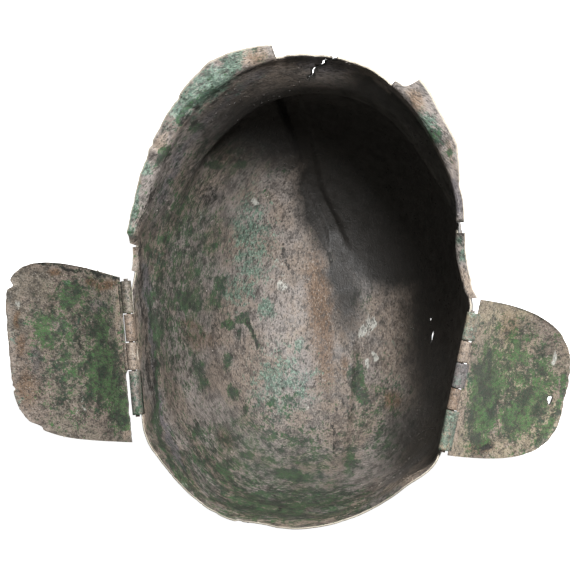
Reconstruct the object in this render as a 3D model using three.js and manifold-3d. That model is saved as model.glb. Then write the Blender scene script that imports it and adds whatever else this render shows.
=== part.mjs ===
import * as THREE from "three";
import { mergeVertices } from "three/addons/utils/BufferGeometryUtils.js";
import Module from "manifold-3d";

// Chalcidian helmet lying on its crown, opening upward, brow toward -Y, neck guard toward +Y
// Lengths are millimetres and the crown rests on z = 0

const wasm = await Module();
wasm.setup();

// Bowl sizes
const SHEET = 1.1;
const HALF_WIDTH = 102.5;
const FRONT_REACH = 146;
const BACK_REACH = 136.5;
const FRONT_POWER = 2.39;
const BACK_POWER = 2.11;
const CROWN_POWER = 2.35;
const RIM_SIDE = 170;
const RIM_FRONT = 160;
const RIM_BACK = 182;
const CROWN_FLAT = 1.8;
// How much the neck is drawn in, where that starts and is full behind the ears, and its height band
const NECK_PINCH = { share: 0.1, from: 0.15, full: 0.85, rise: 0.79, half: 0.2 };
// Low step all round, as a height out of the wall and where it lies as shares of the rim height
const STEP_RISE = 1.8;
const STEP_FROM = 0.75;
const STEP_TO = 0.79;
// Brow edge turned outward over the last share of the height, full at a share of the front reach
const BROW_TURN = { out: 2.6, from: 0.955, full: 0.9 };
// Two low arches over the eyes, places as shares of the half width
const BROW_ARCH = { depth: 7, place: 0.48, half: 0.42 };
// Where the rim drops from the hinges to the brow, in mm in front of the hinge line
const BROW_DROP_FROM = 4;
const BROW_DROP_FULL = 34;
// Where the rim climbs to the neck guard, as shares of the back reach
const NECK_CLIMB_FROM = 0.2;
const NECK_CLIMB_FULL = 0.95;

// Median ridge, raised on the outside and seen as a groove inside
const RIDGE_RISE = 3.2;
const RIDGE_HALF = 9;
// The ridge has a flat top, is lower in front and fades out up the wall
const RIDGE_SHAPE = { top: 1.5, front: 0.6, backFrom: 0.45, backTo: 0.75, frontFrom: 0.3, frontTo: 0.6 };
// Line of the ridge from back to front, y as a share of the back reach and x of the half width
const RIDGE_LINE = [
  { y: 1, x: -0.32 },
  { y: 0.5, x: -0.21 },
  { y: 0.32, x: -0.08 },
  { y: 0.05, x: 0.05 },
  { y: -0.72, x: 0.125 },
  { y: -1.1, x: 0.13 },
];

// Hinge line at the side rim, set by the half width
const HINGE_BACK_X = { left: HALF_WIDTH + 3, right: HALF_WIDTH + 1.5 };
const HINGE_FRONT_X = { left: HALF_WIDTH - 14.3, right: HALF_WIDTH - 11.2 };
const HINGE_BACK_Y = 0;
const HINGE_FRONT_Y = -98;
// The wall is straight under the hinge and fades to the round plan past these lengths in mm
const HINGE_FADE = { frontOuter: 16, frontInner: 10, backInner: -6, backOuter: 8 };
// Height band over which the wall turns straight, as shares of the rim height
const STRAIGHT_FROM = 0.45;
const STRAIGHT_FULL = 0.9;
const HINGE_OVER_RIM = 5.3;
const HINGE_OUT_OF_WALL = 2.2;
const KNUCKLE_RADIUS = 3.2;
const PIN_RADIUS = 1.3;
const PIN_CLEARANCE = 0.3;
const KNUCKLE_GAP = 0.6;
// How far a tongue of sheet runs past its root into the wall or plate
const TONGUE_INTO_WALL = 2.5;
const TONGUE_INTO_PLATE = 1.5;
// Pins and the bore that is cut for them, start and end in mm from the back end of the hinge
const PINS = { left: { from: 3, to: 86 }, right: { from: 5, to: 89 } };
const BORE = { from: -10, to: 110 };

// Cheek-piece sizes
const CHEEK_SHEET = 1.1;
const CHEEK_ROOT = 4.2;
const CHEEK_SAG_OUT = 4.5;
const CHEEK_SAG_ALONG = 5;
// Shares of the reach over which the two sags come in, and share of the length that has columns
const CHEEK_SAG_OUT_FULL = 0.3;
const CHEEK_SAG_ALONG_FULL = 0.5;
const CHEEK_END_SHARE = 0.965;

// Neck guard lip, which is lost between the two stretches that are left
// earY and breakX are where a stretch ends, as shares of the back reach and of the half width
const LIP_RISE = 0.28;
const LIP_BROKEN = 1.4;
const LIP_BROKEN_RISE = 2;
const LEFT_LIP = { earY: 0.13, breakX: -0.228 };
const RIGHT_LIP = { earY: 0.335, breakX: 0.46 };
// Widths of the lip in mm from the ear to the break
const LEFT_LIP_WIDTHS = [
  { share: 0, width: 4.7 },
  { share: 0.25, width: 8.5 },
  { share: 0.5, width: 10.3 },
  { share: 0.75, width: 14 },
  { share: 1, width: 7.8 },
];
const RIGHT_LIP_WIDTHS = [
  { share: 0, width: 4 },
  { share: 0.22, width: 3.7 },
  { share: 0.44, width: 11 },
  { share: 0.67, width: 11.3 },
  { share: 0.88, width: 14.5 },
  { share: 0.91, width: 5 },
  { share: 1, width: 3 },
];

// Narrow flange turned outward along each ear cut-out, from and to as y in mm
const LEFT_EAR_FLANGE = { from: 2, to: 16.5, width: 3.2 };
const RIGHT_EAR_FLANGE = { from: 2, to: 41, width: 5.1 };

// Ear cut-outs in the rim between neck guard and hinge, y and half as shares of the back reach
const EARS = {
  left: { y: 0.055, half: 0.115, depth: 12 },
  right: { y: 0.15, half: 0.17, depth: 15 },
};

// Edge left where the neck guard broke off: mean loss, its waves, and one deeper bay
const BREAK_LOSS = 2.2;
const BREAK_WAVES = [
  { depth: 1.4, turns: 21, shift: 0 },
  { depth: 0.8, turns: 47, shift: 1 },
];
const BREAK_BAY = { depth: 1.5, at: 0.1, half: 0.3 };

// Dents, one row each: bearing and spread in degrees, height and band as shares of the rim height,
// depth as a share of the half width, positive inward
const DENTS = [
  { bearing: 36.6, spread: 22.4, height: 0.95, band: 0.7, depth: 0.04 },
  { bearing: -66, spread: 33.4, height: 1.0, band: 0.5, depth: 0.078 },
  { bearing: -97, spread: 5, height: 1.0, band: 0.1, depth: 0.023 },
  { bearing: 178, spread: 28, height: 0.55, band: 0.35, depth: 0.02 },
  { bearing: -20, spread: 20, height: 0.35, band: 0.2, depth: 0.03 },
  { bearing: 10.7, spread: 10.7, height: 1.0, band: 0.35, depth: 0.09 },
  { bearing: 172, spread: 8, height: 1.0, band: 0.35, depth: -0.02 },
  { bearing: -137, spread: 15, height: 1.0, band: 0.4, depth: 0.03 },
];

// Height bands in which a dent comes in above the crown and dies out under the hinge
const DENT_FADE = { from: 0.02, full: 0.3, hingeFrom: 0.4, hingeFull: 0.8 };

// Cheek-pieces: start and length along the hinge, reach away from it, how much wider and how far
// back the far side is as shares, corner powers, and droop below level in degrees
const CHEEKS = {
  left: {
    start: 3,
    length: 98.4,
    reach: 88.9,
    spread: 0.23,
    skew: 0.21,
    backPower: 3.6,
    frontPower: 4,
    droop: 14,
  },
  right: {
    start: -2,
    length: 92.5,
    reach: 86.8,
    spread: 0.034,
    skew: 0.022,
    backPower: 2.78,
    frontPower: 3.2,
    droop: 42,
  },
};

// Nibbled edge of the left cheek-piece, places as shares of its length from the back, depths in mm
const LEFT_NIBBLES = [
  { along: 0.2, half: 0.03, depth: 3.2 },
  { along: 0.74, half: 0.02, depth: 1.6 },
  { along: 0.93, half: 0.025, depth: 3.5 },
];

// Knuckles along each hinge, start and end in mm from its back end
const KNUCKLES = {
  left: {
    bowl: [[24, 41], [58, 85]],
    cheek: [[4, 24], [41, 58]],
  },
  right: {
    bowl: [[23, 36], [51, 64]],
    cheek: [[6, 23], [36, 51], [64, 88]],
  },
};
// Hinge edge of the left cheek-piece where its third knuckle broke off
const BROKEN_HINGE_EDGE = { from: 60, back: 1.2 };

// Strap hole in the right cheek-piece
const STRAP_HOLE = { along: 49, reach: 0.885, width: 3.2, length: 5.2, through: 40 };

// Holes worn through the bowl: plan place and height of the centre, and lengths of the hole
const WALL_HOLES = [
  { x: 66.5, y: -14, z: 33, wide: 1.4, long: 1.4 },
  { x: 69.2, y: -25, z: 38.5, wide: 1.6, long: 7 },
];
// Length of the cut through the wall, and its lean from the vertical in degrees
const WALL_HOLE_THROUGH = 24;
const WALL_HOLE_LEAN = 125;

// Crack that runs down from the broken neck edge
const CRACK = { x: 3, y: 131, z: 171, wide: 1.5, long: 34, through: 26, lean: 38 };

// Torn corner between right ear and neck guard
const TEAR = { x: 90, y: 43.3, z: 169, along: 4.4, down: 24, through: 20 };

// Mesh fineness
const BASE_COLUMNS = 68;
const WALL_ROWS = 18;
const LIP_ROWS = 2;
const ROUND_SIDES = 16;
const CHEEK_COLUMNS = 28;
const CHEEK_ROWS = 8;
// Rows crowd a little toward the rim
const ROW_POWER = 0.92;
// Columns stand this many degrees each side of a lip's end, and none comes closer than the room
const END_COLUMN = 0.4;
const END_ROOM = 1.2;
// Steps for the slope of the wall: bearing in degrees, and sweep with its least value
const SLOPE_STEP = { bearing: 0.5, sweep: 0.004, least: 0.001 };
const WELD = 1e-4;

const radians = (degrees) => (degrees * Math.PI) / 180;

const smooth = (from, to, value) => {
  const share = Math.min(1, Math.max(0, (value - from) / (to - from)));
  return share * share * (3 - 2 * share);
};

const hump = (value, centre, half) => {
  const share = Math.abs(value - centre) / half;
  return share >= 1 ? 0 : 0.5 + 0.5 * Math.cos(Math.PI * share);
};

const signedPower = (value, power) => Math.sign(value) * Math.abs(value) ** power;

const turnBetween = (bearing, centre) => {
  const turn = (((bearing - centre) % 360) + 540) % 360;
  return turn - 180;
};

const ofSide = (side, pair) => (side < 0 ? pair.left : pair.right);

// Value of a table's column at a place between its rows, which run upward or downward by the key
const readTable = (rows, key, column, place) => {
  const upward = rows[rows.length - 1][key] > rows[0][key];
  const next = rows.findIndex((row, i) => i > 0 && (upward ? place <= row[key] : place >= row[key]));
  const after = rows[next < 0 ? rows.length - 1 : next];
  const before = rows[next < 0 ? rows.length - 2 : next - 1];
  const between = Math.min(1, Math.max(0, (place - before[key]) / (after[key] - before[key])));
  return before[column] + (after[column] - before[column]) * between;
};

// Distance of the straight rim under the hinge from the middle plane
const hingeWallX = (y, side) => {
  const share = (HINGE_BACK_Y - y) / (HINGE_BACK_Y - HINGE_FRONT_Y);
  const back = ofSide(side, HINGE_BACK_X);
  const axis = back + (ofSide(side, HINGE_FRONT_X) - back) * share;
  return axis - HINGE_OUT_OF_WALL + SHEET / 2;
};

// Rim outline from above at a bearing, 0 toward +X and 90 toward the back
const planPoint = (bearing) => {
  const c = Math.cos(radians(bearing));
  const s = Math.sin(radians(bearing));
  const power = s >= 0 ? BACK_POWER : FRONT_POWER;
  const reach = s >= 0 ? BACK_REACH : FRONT_REACH;
  const x = HALF_WIDTH * signedPower(c, 2 / power);
  const y = reach * signedPower(s, 2 / power);
  return { x, y };
};

// How far the wall at this y is straightened for the hinge
const hingeWeight = (y) => {
  const front = smooth(HINGE_FRONT_Y - HINGE_FADE.frontOuter, HINGE_FRONT_Y + HINGE_FADE.frontInner, y);
  return front * (1 - smooth(HINGE_FADE.backInner, HINGE_FADE.backOuter, y));
};

// Rim height at a plan place, before the ear cut-outs
const rimHeight = (x, y) => {
  const front = smooth(HINGE_FRONT_Y - BROW_DROP_FROM, HINGE_FRONT_Y - BROW_DROP_FULL, y);
  const back = smooth(NECK_CLIMB_FROM * BACK_REACH, NECK_CLIMB_FULL * BACK_REACH, y);
  const arch = hump(Math.abs(x), BROW_ARCH.place * HALF_WIDTH, BROW_ARCH.half * HALF_WIDTH) * front;
  const plain = RIM_SIDE + (RIM_FRONT - RIM_SIDE) * front + (RIM_BACK - RIM_SIDE) * back;
  return plain - BROW_ARCH.depth * arch;
};

const earCut = (x, y) => {
  const ear = x < 0 ? EARS.left : EARS.right;
  const away = Math.abs(y / BACK_REACH - ear.y) / ear.half;
  return away >= 1 ? 0 : ear.depth * Math.sqrt(1 - away * away);
};

// Share of the rim height that a sweep reaches
const riseOf = (sweep) => 1 - Math.cos((sweep * Math.PI) / 2) ** (2 / CROWN_POWER);

// Sweep of 0 is the crown and 1 the full rim
const wallPoint = (bearing, sweep) => {
  const plan = planPoint(bearing);
  const rise = riseOf(sweep);
  const pinch = smooth(NECK_PINCH.from, NECK_PINCH.full, plan.y / BACK_REACH) * NECK_PINCH.share;
  let reach = Math.sin((sweep * Math.PI) / 2) ** (2 / CROWN_POWER);
  reach *= 1 - pinch * hump(rise, NECK_PINCH.rise, NECK_PINCH.half);
  const away = Math.hypot(plan.x, plan.y);
  const nearHinge = hingeWeight(plan.y);
  const step = STEP_RISE * smooth(STEP_FROM, STEP_TO, rise);
  const brow = smooth(0, -BROW_TURN.full * FRONT_REACH, plan.y) * (1 - nearHinge);
  const turn = BROW_TURN.out * smooth(BROW_TURN.from, 1, rise) * brow;
  const size = reach * (1 + (step + turn - STEP_RISE) / away);
  let x = plan.x * size;
  const y = plan.y * size;
  const straight = Math.sign(plan.x) * (hingeWallX(y, plan.x) * reach + step - STEP_RISE);
  x += (straight - x) * nearHinge * smooth(STRAIGHT_FROM, STRAIGHT_FULL, rise);
  const z = rise * (rimHeight(plan.x, plan.y) + CROWN_FLAT) - CROWN_FLAT;
  return new THREE.Vector3(x, y, z);
};

// Raised ridge, as a distance along the outward normal
const ridgeAt = (point, rise) => {
  const middle = HALF_WIDTH * readTable(RIDGE_LINE, "y", "x", point.y / BACK_REACH);
  const across = hump(point.x, middle, RIDGE_HALF);
  const back = 1 - smooth(RIDGE_SHAPE.backFrom, RIDGE_SHAPE.backTo, rise);
  const front = RIDGE_SHAPE.front * (1 - smooth(RIDGE_SHAPE.frontFrom, RIDGE_SHAPE.frontTo, rise));
  return RIDGE_RISE * Math.min(1, RIDGE_SHAPE.top * across) * (point.y > 0 ? back : front);
};

// Depth of the dents along the inward normal
const dentAt = (bearing, rise, plan) => {
  let depth = 0;
  for (const dent of DENTS) {
    const around = turnBetween(bearing, dent.bearing) / dent.spread;
    const along = (rise - dent.height) / dent.band;
    depth += dent.depth * HALF_WIDTH * Math.exp(-(around * around + along * along));
  }
  const nearHinge = hingeWeight(plan.y) * smooth(DENT_FADE.hingeFrom, DENT_FADE.hingeFull, rise);
  return depth * smooth(DENT_FADE.from, DENT_FADE.full, rise) * (1 - nearHinge);
};

// Bearing at which the rim outline passes a given y on one side
const bearingAtY = (y, side) => {
  const power = y >= 0 ? BACK_POWER : FRONT_POWER;
  const reach = y >= 0 ? BACK_REACH : FRONT_REACH;
  const s = Math.sign(y) * (Math.abs(y) / reach) ** (power / 2);
  const bearing = (Math.asin(s) * 180) / Math.PI;
  return side > 0 ? bearing : 180 - bearing;
};

const bearingAtX = (x) => (Math.acos(signedPower(x / HALF_WIDTH, BACK_POWER / 2)) * 180) / Math.PI;

const lipEnds = {
  rightEar: bearingAtY(RIGHT_LIP.earY * BACK_REACH, 1),
  rightBreak: bearingAtX(RIGHT_LIP.breakX * HALF_WIDTH),
  leftBreak: bearingAtX(LEFT_LIP.breakX * HALF_WIDTH),
  leftEar: bearingAtY(LEFT_LIP.earY * BACK_REACH, -1),
};

const flangeEnds = {
  right: [bearingAtY(RIGHT_EAR_FLANGE.from, 1), bearingAtY(RIGHT_EAR_FLANGE.to, 1)],
  left: [bearingAtY(LEFT_EAR_FLANGE.to, -1), bearingAtY(LEFT_EAR_FLANGE.from, -1)],
};

const isBetween = (value, [low, high]) => value > low && value < high;

// Width of the turned edge at a bearing: neck guard lip, ear flange or neither
const lipWidth = (bearing) => {
  if (isBetween(bearing, [lipEnds.rightEar, lipEnds.rightBreak])) {
    const share = (bearing - lipEnds.rightEar) / (lipEnds.rightBreak - lipEnds.rightEar);
    return readTable(RIGHT_LIP_WIDTHS, "share", "width", share);
  }
  if (isBetween(bearing, [lipEnds.leftBreak, lipEnds.leftEar])) {
    const share = (lipEnds.leftEar - bearing) / (lipEnds.leftEar - lipEnds.leftBreak);
    return readTable(LEFT_LIP_WIDTHS, "share", "width", share);
  }
  if (isBetween(bearing, flangeEnds.right)) {
    return RIGHT_EAR_FLANGE.width;
  }
  return isBetween(bearing, flangeEnds.left) ? LEFT_EAR_FLANGE.width : 0;
};

// Ragged loss along the broken neck edge
const raggedLoss = (bearing) => {
  if (bearing < lipEnds.rightBreak || bearing > lipEnds.leftBreak) {
    return 0;
  }
  const share = (bearing - lipEnds.rightBreak) / (lipEnds.leftBreak - lipEnds.rightBreak);
  let loss = BREAK_LOSS + BREAK_BAY.depth * hump(share, BREAK_BAY.at, BREAK_BAY.half);
  for (const wave of BREAK_WAVES) {
    loss += wave.depth * Math.sin(share * wave.turns + wave.shift);
  }
  return loss;
};

// Bearings of the columns, with a close pair where each stretch of lip or flange ends
const bearings = () => {
  const keys = [];
  for (const bearing of [...Object.values(lipEnds), ...flangeEnds.right, ...flangeEnds.left]) {
    keys.push(bearing - END_COLUMN, bearing + END_COLUMN);
  }
  const list = [...keys];
  for (let i = 0; i < BASE_COLUMNS; i += 1) {
    const bearing = (i * 360) / BASE_COLUMNS - 90;
    if (keys.every((key) => Math.abs(turnBetween(bearing, key)) > END_ROOM)) {
      list.push(bearing);
    }
  }
  return list.sort((a, b) => a - b);
};

// Sweep at which the sheet ends, after ear cut-outs and broken edge
const sweepEnd = (bearing) => {
  const plan = planPoint(bearing);
  const height = rimHeight(plan.x, plan.y);
  const cut = earCut(plan.x, plan.y) + raggedLoss(bearing);
  const rise = (height - cut + CROWN_FLAT) / (height + CROWN_FLAT);
  return Math.acos((1 - rise) ** (CROWN_POWER / 2)) / (Math.PI / 2);
};

// Outward normal of the wall
const normalAt = (bearing, sweep) => {
  const above = Math.min(1, sweep + SLOPE_STEP.sweep);
  const below = Math.max(SLOPE_STEP.least, sweep - SLOPE_STEP.sweep);
  const around = wallPoint(bearing + SLOPE_STEP.bearing, sweep);
  around.sub(wallPoint(bearing - SLOPE_STEP.bearing, sweep));
  const up = wallPoint(bearing, above).sub(wallPoint(bearing, below));
  return around.cross(up).normalize();
};

// One column of the bowl: outer and inner points from crown to edge
const bowlColumn = (bearing) => {
  const outer = [];
  const inner = [];
  const end = sweepEnd(bearing);
  const plan = planPoint(bearing);
  for (let row = 1; row <= WALL_ROWS; row += 1) {
    const sweep = end * (row / WALL_ROWS) ** ROW_POWER;
    const rise = riseOf(sweep);
    const base = wallPoint(bearing, sweep);
    const normal = normalAt(bearing, sweep);
    const push = ridgeAt(base, rise) - dentAt(bearing, rise, plan);
    const out = base.clone().addScaledVector(normal, push);
    const into = base.clone().addScaledVector(normal, push - SHEET);
    out.z = Math.max(out.z, 0);
    into.z = Math.max(into.z, SHEET);
    outer.push(out);
    inner.push(into);
  }
  const width = lipWidth(bearing);
  const edge = outer[WALL_ROWS - 1];
  const lean = new THREE.Vector3(plan.x / HALF_WIDTH ** 2, plan.y / BACK_REACH ** 2, 0).normalize();
  const run = lean.clone().setZ(width > 0 ? LIP_RISE : LIP_BROKEN_RISE).normalize();
  const under = new THREE.Vector3(-run.z * lean.x, -run.z * lean.y, Math.hypot(run.x, run.y));
  for (let row = 1; row <= LIP_ROWS; row += 1) {
    const along = (Math.max(width, LIP_BROKEN) * row) / LIP_ROWS;
    const out = edge.clone().addScaledVector(run, along);
    outer.push(out);
    inner.push(out.clone().addScaledVector(under, SHEET));
  }
  return { outer, inner };
};

// Geometry from points and faces, turned outward if its volume comes out negative
const closedGeometry = (points, faces) => {
  let volume = 0;
  for (const [a, b, c] of faces) {
    volume += points[a].dot(points[b].clone().cross(points[c]));
  }
  const index = faces.flatMap(([a, b, c]) => (volume < 0 ? [a, c, b] : [a, b, c]));
  const geometry = new THREE.BufferGeometry();
  geometry.setAttribute("position", new THREE.Float32BufferAttribute(points.flatMap((p) => p.toArray()), 3));
  geometry.setIndex(index);
  return geometry;
};

// Closed thin shell of the bowl, from columns of outer and inner points
const bowlShell = () => {
  const columns = bearings().map(bowlColumn);
  const rows = WALL_ROWS + LIP_ROWS;
  const count = columns.length;
  const points = [new THREE.Vector3(0, 0, 0), new THREE.Vector3(0, 0, SHEET)];
  for (const column of columns) {
    points.push(...column.outer, ...column.inner);
  }
  const outerAt = (column, row) => 2 + (column % count) * 2 * rows + row;
  const innerAt = (column, row) => outerAt(column, row) + rows;
  const faces = [];
  const quad = (a, b, c, d) => faces.push([a, b, c], [a, c, d]);
  for (let i = 0; i < count; i += 1) {
    faces.push([0, outerAt(i + 1, 0), outerAt(i, 0)]);
    faces.push([1, innerAt(i, 0), innerAt(i + 1, 0)]);
    for (let row = 0; row < rows - 1; row += 1) {
      quad(outerAt(i, row), outerAt(i + 1, row), outerAt(i + 1, row + 1), outerAt(i, row + 1));
      quad(innerAt(i, row), innerAt(i, row + 1), innerAt(i + 1, row + 1), innerAt(i + 1, row));
    }
    quad(outerAt(i, rows - 1), outerAt(i + 1, rows - 1), innerAt(i + 1, rows - 1), innerAt(i, rows - 1));
  }
  return closedGeometry(points, faces);
};

// Closed body that can be cut and joined
const solid = (geometry) => {
  const bare = geometry.clone();
  bare.deleteAttribute("uv");
  bare.deleteAttribute("normal");
  const merged = mergeVertices(bare, WELD);
  return new wasm.Manifold(
    new wasm.Mesh({
      numProp: 3,
      vertProperties: new Float32Array(merged.attributes.position.array),
      triVerts: new Uint32Array(merged.index.array),
    }),
  );
};

// Local frame of one hinge: along it to the front, outward and up, all unit vectors
const hingeFrame = (side) => {
  const height = RIM_SIDE + HINGE_OVER_RIM;
  const back = new THREE.Vector3(side * ofSide(side, HINGE_BACK_X), HINGE_BACK_Y, height);
  const front = new THREE.Vector3(side * ofSide(side, HINGE_FRONT_X), HINGE_FRONT_Y, height);
  const along = front.clone().sub(back).normalize();
  const up = new THREE.Vector3(0, 0, 1);
  const outward = new THREE.Vector3(-along.y * side, along.x * side, 0).normalize();
  return { back, along, outward, up };
};

const rodBetween = (frame, from, to, radius) => {
  const rod = new THREE.CylinderGeometry(radius, radius, to - from, ROUND_SIDES);
  rod.applyQuaternion(new THREE.Quaternion().setFromUnitVectors(new THREE.Vector3(0, 1, 0), frame.along));
  const middle = frame.back.clone().addScaledVector(frame.along, (from + to) / 2);
  return rod.translate(middle.x, middle.y, middle.z);
};

// Box set in a hinge frame by its size along the hinge, outward and up
const boxInFrame = (frame, size, centre) => {
  const box = new THREE.BoxGeometry(size.x, size.y, size.z);
  const third = frame.along.clone().cross(frame.outward);
  const turn = new THREE.Matrix4().makeBasis(frame.along, frame.outward, third);
  const lift = Math.sign(third.dot(frame.up));
  box.translate(centre.x, centre.y, centre.z * lift);
  box.applyMatrix4(turn);
  return box.translate(frame.back.x, frame.back.y, frame.back.z);
};

// Knuckles rolled from a tongue of the sheet, then bored for the pin
const bowlKnuckles = (side, spans) => {
  const frame = hingeFrame(side);
  const pieces = [];
  for (const [from, to] of spans) {
    const start = from + KNUCKLE_GAP / 2;
    const end = to - KNUCKLE_GAP / 2;
    pieces.push(solid(rodBetween(frame, start, end, KNUCKLE_RADIUS)));
    const size = new THREE.Vector3(end - start, SHEET, HINGE_OVER_RIM + TONGUE_INTO_WALL);
    const centre = new THREE.Vector3((start + end) / 2, -HINGE_OUT_OF_WALL, -size.z / 2);
    pieces.push(solid(boxInFrame(frame, size, centre)));
  }
  return pieces;
};

const crackCut = () => {
  const box = new THREE.BoxGeometry(CRACK.wide, CRACK.through, CRACK.long);
  box.rotateY(radians(CRACK.lean));
  return box.translate(CRACK.x, CRACK.y, CRACK.z);
};

const tearCut = () => {
  const box = new THREE.BoxGeometry(TEAR.through, TEAR.along, TEAR.down);
  return box.translate(TEAR.x, TEAR.y, TEAR.z);
};

// Hole pushed straight through the sloping side wall, long way front to back
const holeCut = (hole) => {
  const cut = new THREE.CylinderGeometry(hole.wide / 2, hole.wide / 2, WALL_HOLE_THROUGH, ROUND_SIDES);
  cut.scale(1, 1, hole.long / hole.wide);
  cut.rotateX(radians(90));
  cut.rotateY(radians(WALL_HOLE_LEAN));
  return cut.translate(hole.x, hole.y, hole.z);
};

const boreCut = (side) => rodBetween(hingeFrame(side), BORE.from, BORE.to, PIN_RADIUS + PIN_CLEARANCE);

const bowlSolid = () => {
  let bowl = solid(bowlShell());
  for (const cut of [crackCut(), tearCut(), ...WALL_HOLES.map(holeCut)]) {
    bowl = bowl.subtract(solid(cut));
  }
  for (const [side, spans] of [[-1, KNUCKLES.left.bowl], [1, KNUCKLES.right.bowl]]) {
    for (const piece of bowlKnuckles(side, spans)) {
      bowl = bowl.add(piece);
    }
    bowl = bowl.subtract(solid(boreCut(side)));
  }
  return bowl;
};

// Cheek frame is the hinge frame swung down by the droop
const cheekFrame = (side, droop) => {
  const frame = hingeFrame(side);
  const c = Math.cos(radians(droop));
  const s = Math.sin(radians(droop));
  const outward = frame.outward.clone().multiplyScalar(c).addScaledVector(frame.up, -s);
  const up = frame.outward.clone().multiplyScalar(s).addScaledVector(frame.up, c);
  return { back: frame.back, along: frame.along, outward, up };
};

// How far a cheek-piece reaches from the hinge at a share of its length
const cheekReach = (cheek, nibbles, share) => {
  const across = 2 * share - 1;
  const power = across < 0 ? cheek.backPower : cheek.frontPower;
  let reach = cheek.reach * (1 - Math.abs(across) ** power) ** (1 / power);
  for (const nibble of nibbles) {
    reach -= nibble.depth * hump(share, nibble.along, nibble.half);
  }
  return reach;
};

// Curved plate of a cheek-piece, hollow side up
const cheekPlate = (side, cheek, nibbles, brokenEdge) => {
  const frame = cheekFrame(side, cheek.droop);
  const columns = CHEEK_COLUMNS;
  const rows = CHEEK_ROWS;
  const points = [];
  for (let i = 0; i <= columns; i += 1) {
    const share = 0.5 + 0.5 * Math.sin(radians(90 * CHEEK_END_SHARE * ((2 * i) / columns - 1)));
    const across = 2 * share - 1;
    const far = cheekReach(cheek, nibbles, share);
    const along = cheek.start + cheek.length * share;
    const back = brokenEdge && along > brokenEdge.from ? brokenEdge.back : 0;
    const near = CHEEK_ROOT + back;
    for (let row = 0; row <= rows; row += 1) {
      const out = near + ((far - near) * row) / rows;
      const level = out / cheek.reach;
      const wider = (cheek.spread * cheek.length * across * level) / 2;
      const sagOut = CHEEK_SAG_OUT * Math.sin(Math.PI * level) * smooth(0, CHEEK_SAG_OUT_FULL, level);
      const sagAlong = CHEEK_SAG_ALONG * (1 - across * across) * smooth(0, CHEEK_SAG_ALONG_FULL, level);
      const base = frame.back.clone();
      base.addScaledVector(frame.along, along + wider - cheek.skew * out);
      base.addScaledVector(frame.outward, out);
      base.addScaledVector(frame.up, -sagOut - sagAlong);
      points.push(base.clone().addScaledVector(frame.up, CHEEK_SHEET / 2));
      points.push(base.clone().addScaledVector(frame.up, -CHEEK_SHEET / 2));
    }
  }
  const at = (column, row, face) => 2 * (column * (rows + 1) + row) + face;
  const faces = [];
  const quad = (a, b, c, d) => faces.push([a, b, c], [a, c, d]);
  for (let i = 0; i < columns; i += 1) {
    for (let row = 0; row < rows; row += 1) {
      quad(at(i, row, 0), at(i + 1, row, 0), at(i + 1, row + 1, 0), at(i, row + 1, 0));
      quad(at(i, row, 1), at(i, row + 1, 1), at(i + 1, row + 1, 1), at(i + 1, row, 1));
    }
    quad(at(i, 0, 0), at(i, 0, 1), at(i + 1, 0, 1), at(i + 1, 0, 0));
    quad(at(i, rows, 0), at(i + 1, rows, 0), at(i + 1, rows, 1), at(i, rows, 1));
  }
  for (let row = 0; row < rows; row += 1) {
    quad(at(0, row, 0), at(0, row + 1, 0), at(0, row + 1, 1), at(0, row, 1));
    quad(at(columns, row, 0), at(columns, row, 1), at(columns, row + 1, 1), at(columns, row + 1, 0));
  }
  return closedGeometry(points, faces);
};

const cheekSolid = (side, cheek, spans, nibbles, brokenEdge) => {
  const frame = cheekFrame(side, cheek.droop);
  let piece = solid(cheekPlate(side, cheek, nibbles, brokenEdge));
  for (const [from, to] of spans) {
    const start = from + KNUCKLE_GAP / 2;
    const end = to - KNUCKLE_GAP / 2;
    piece = piece.add(solid(rodBetween(frame, start, end, KNUCKLE_RADIUS)));
    const size = new THREE.Vector3(end - start, CHEEK_ROOT + TONGUE_INTO_PLATE, CHEEK_SHEET);
    const centre = new THREE.Vector3((start + end) / 2, size.y / 2, 0);
    piece = piece.add(solid(boxInFrame(frame, size, centre)));
  }
  return piece.subtract(solid(boreCut(side)));
};

const strapHole = () => {
  const cheek = CHEEKS.right;
  const frame = cheekFrame(1, cheek.droop);
  const radius = STRAP_HOLE.width / 2;
  const hole = new THREE.CylinderGeometry(radius, radius, STRAP_HOLE.through, ROUND_SIDES);
  hole.scale(1, 1, STRAP_HOLE.length / STRAP_HOLE.width);
  hole.applyQuaternion(new THREE.Quaternion().setFromUnitVectors(new THREE.Vector3(0, 1, 0), frame.up));
  const middle = frame.back.clone();
  middle.addScaledVector(frame.along, STRAP_HOLE.along);
  middle.addScaledVector(frame.outward, STRAP_HOLE.reach * cheek.reach);
  return hole.translate(middle.x, middle.y, middle.z);
};

const meshOf = (shape, name, material) => {
  const result = shape.getMesh();
  const geometry = new THREE.BufferGeometry();
  geometry.setAttribute("position", new THREE.Float32BufferAttribute(result.vertProperties, 3));
  geometry.setIndex(new THREE.Uint32BufferAttribute(result.triVerts, 1));
  geometry.computeVertexNormals();
  const mesh = new THREE.Mesh(geometry, material);
  mesh.name = name;
  return mesh;
};

const bronze = (name, colour) => {
  const material = new THREE.MeshStandardMaterial({ color: colour, metalness: 0.5, roughness: 0.6 });
  material.name = name;
  return material;
};

const pinSolid = (side, pin) => solid(rodBetween(hingeFrame(side), pin.from, pin.to, PIN_RADIUS));

const leftCheek = cheekSolid(-1, CHEEKS.left, KNUCKLES.left.cheek, LEFT_NIBBLES, BROKEN_HINGE_EDGE);
const rightCheek = cheekSolid(1, CHEEKS.right, KNUCKLES.right.cheek, [], null).subtract(solid(strapHole()));

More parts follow.
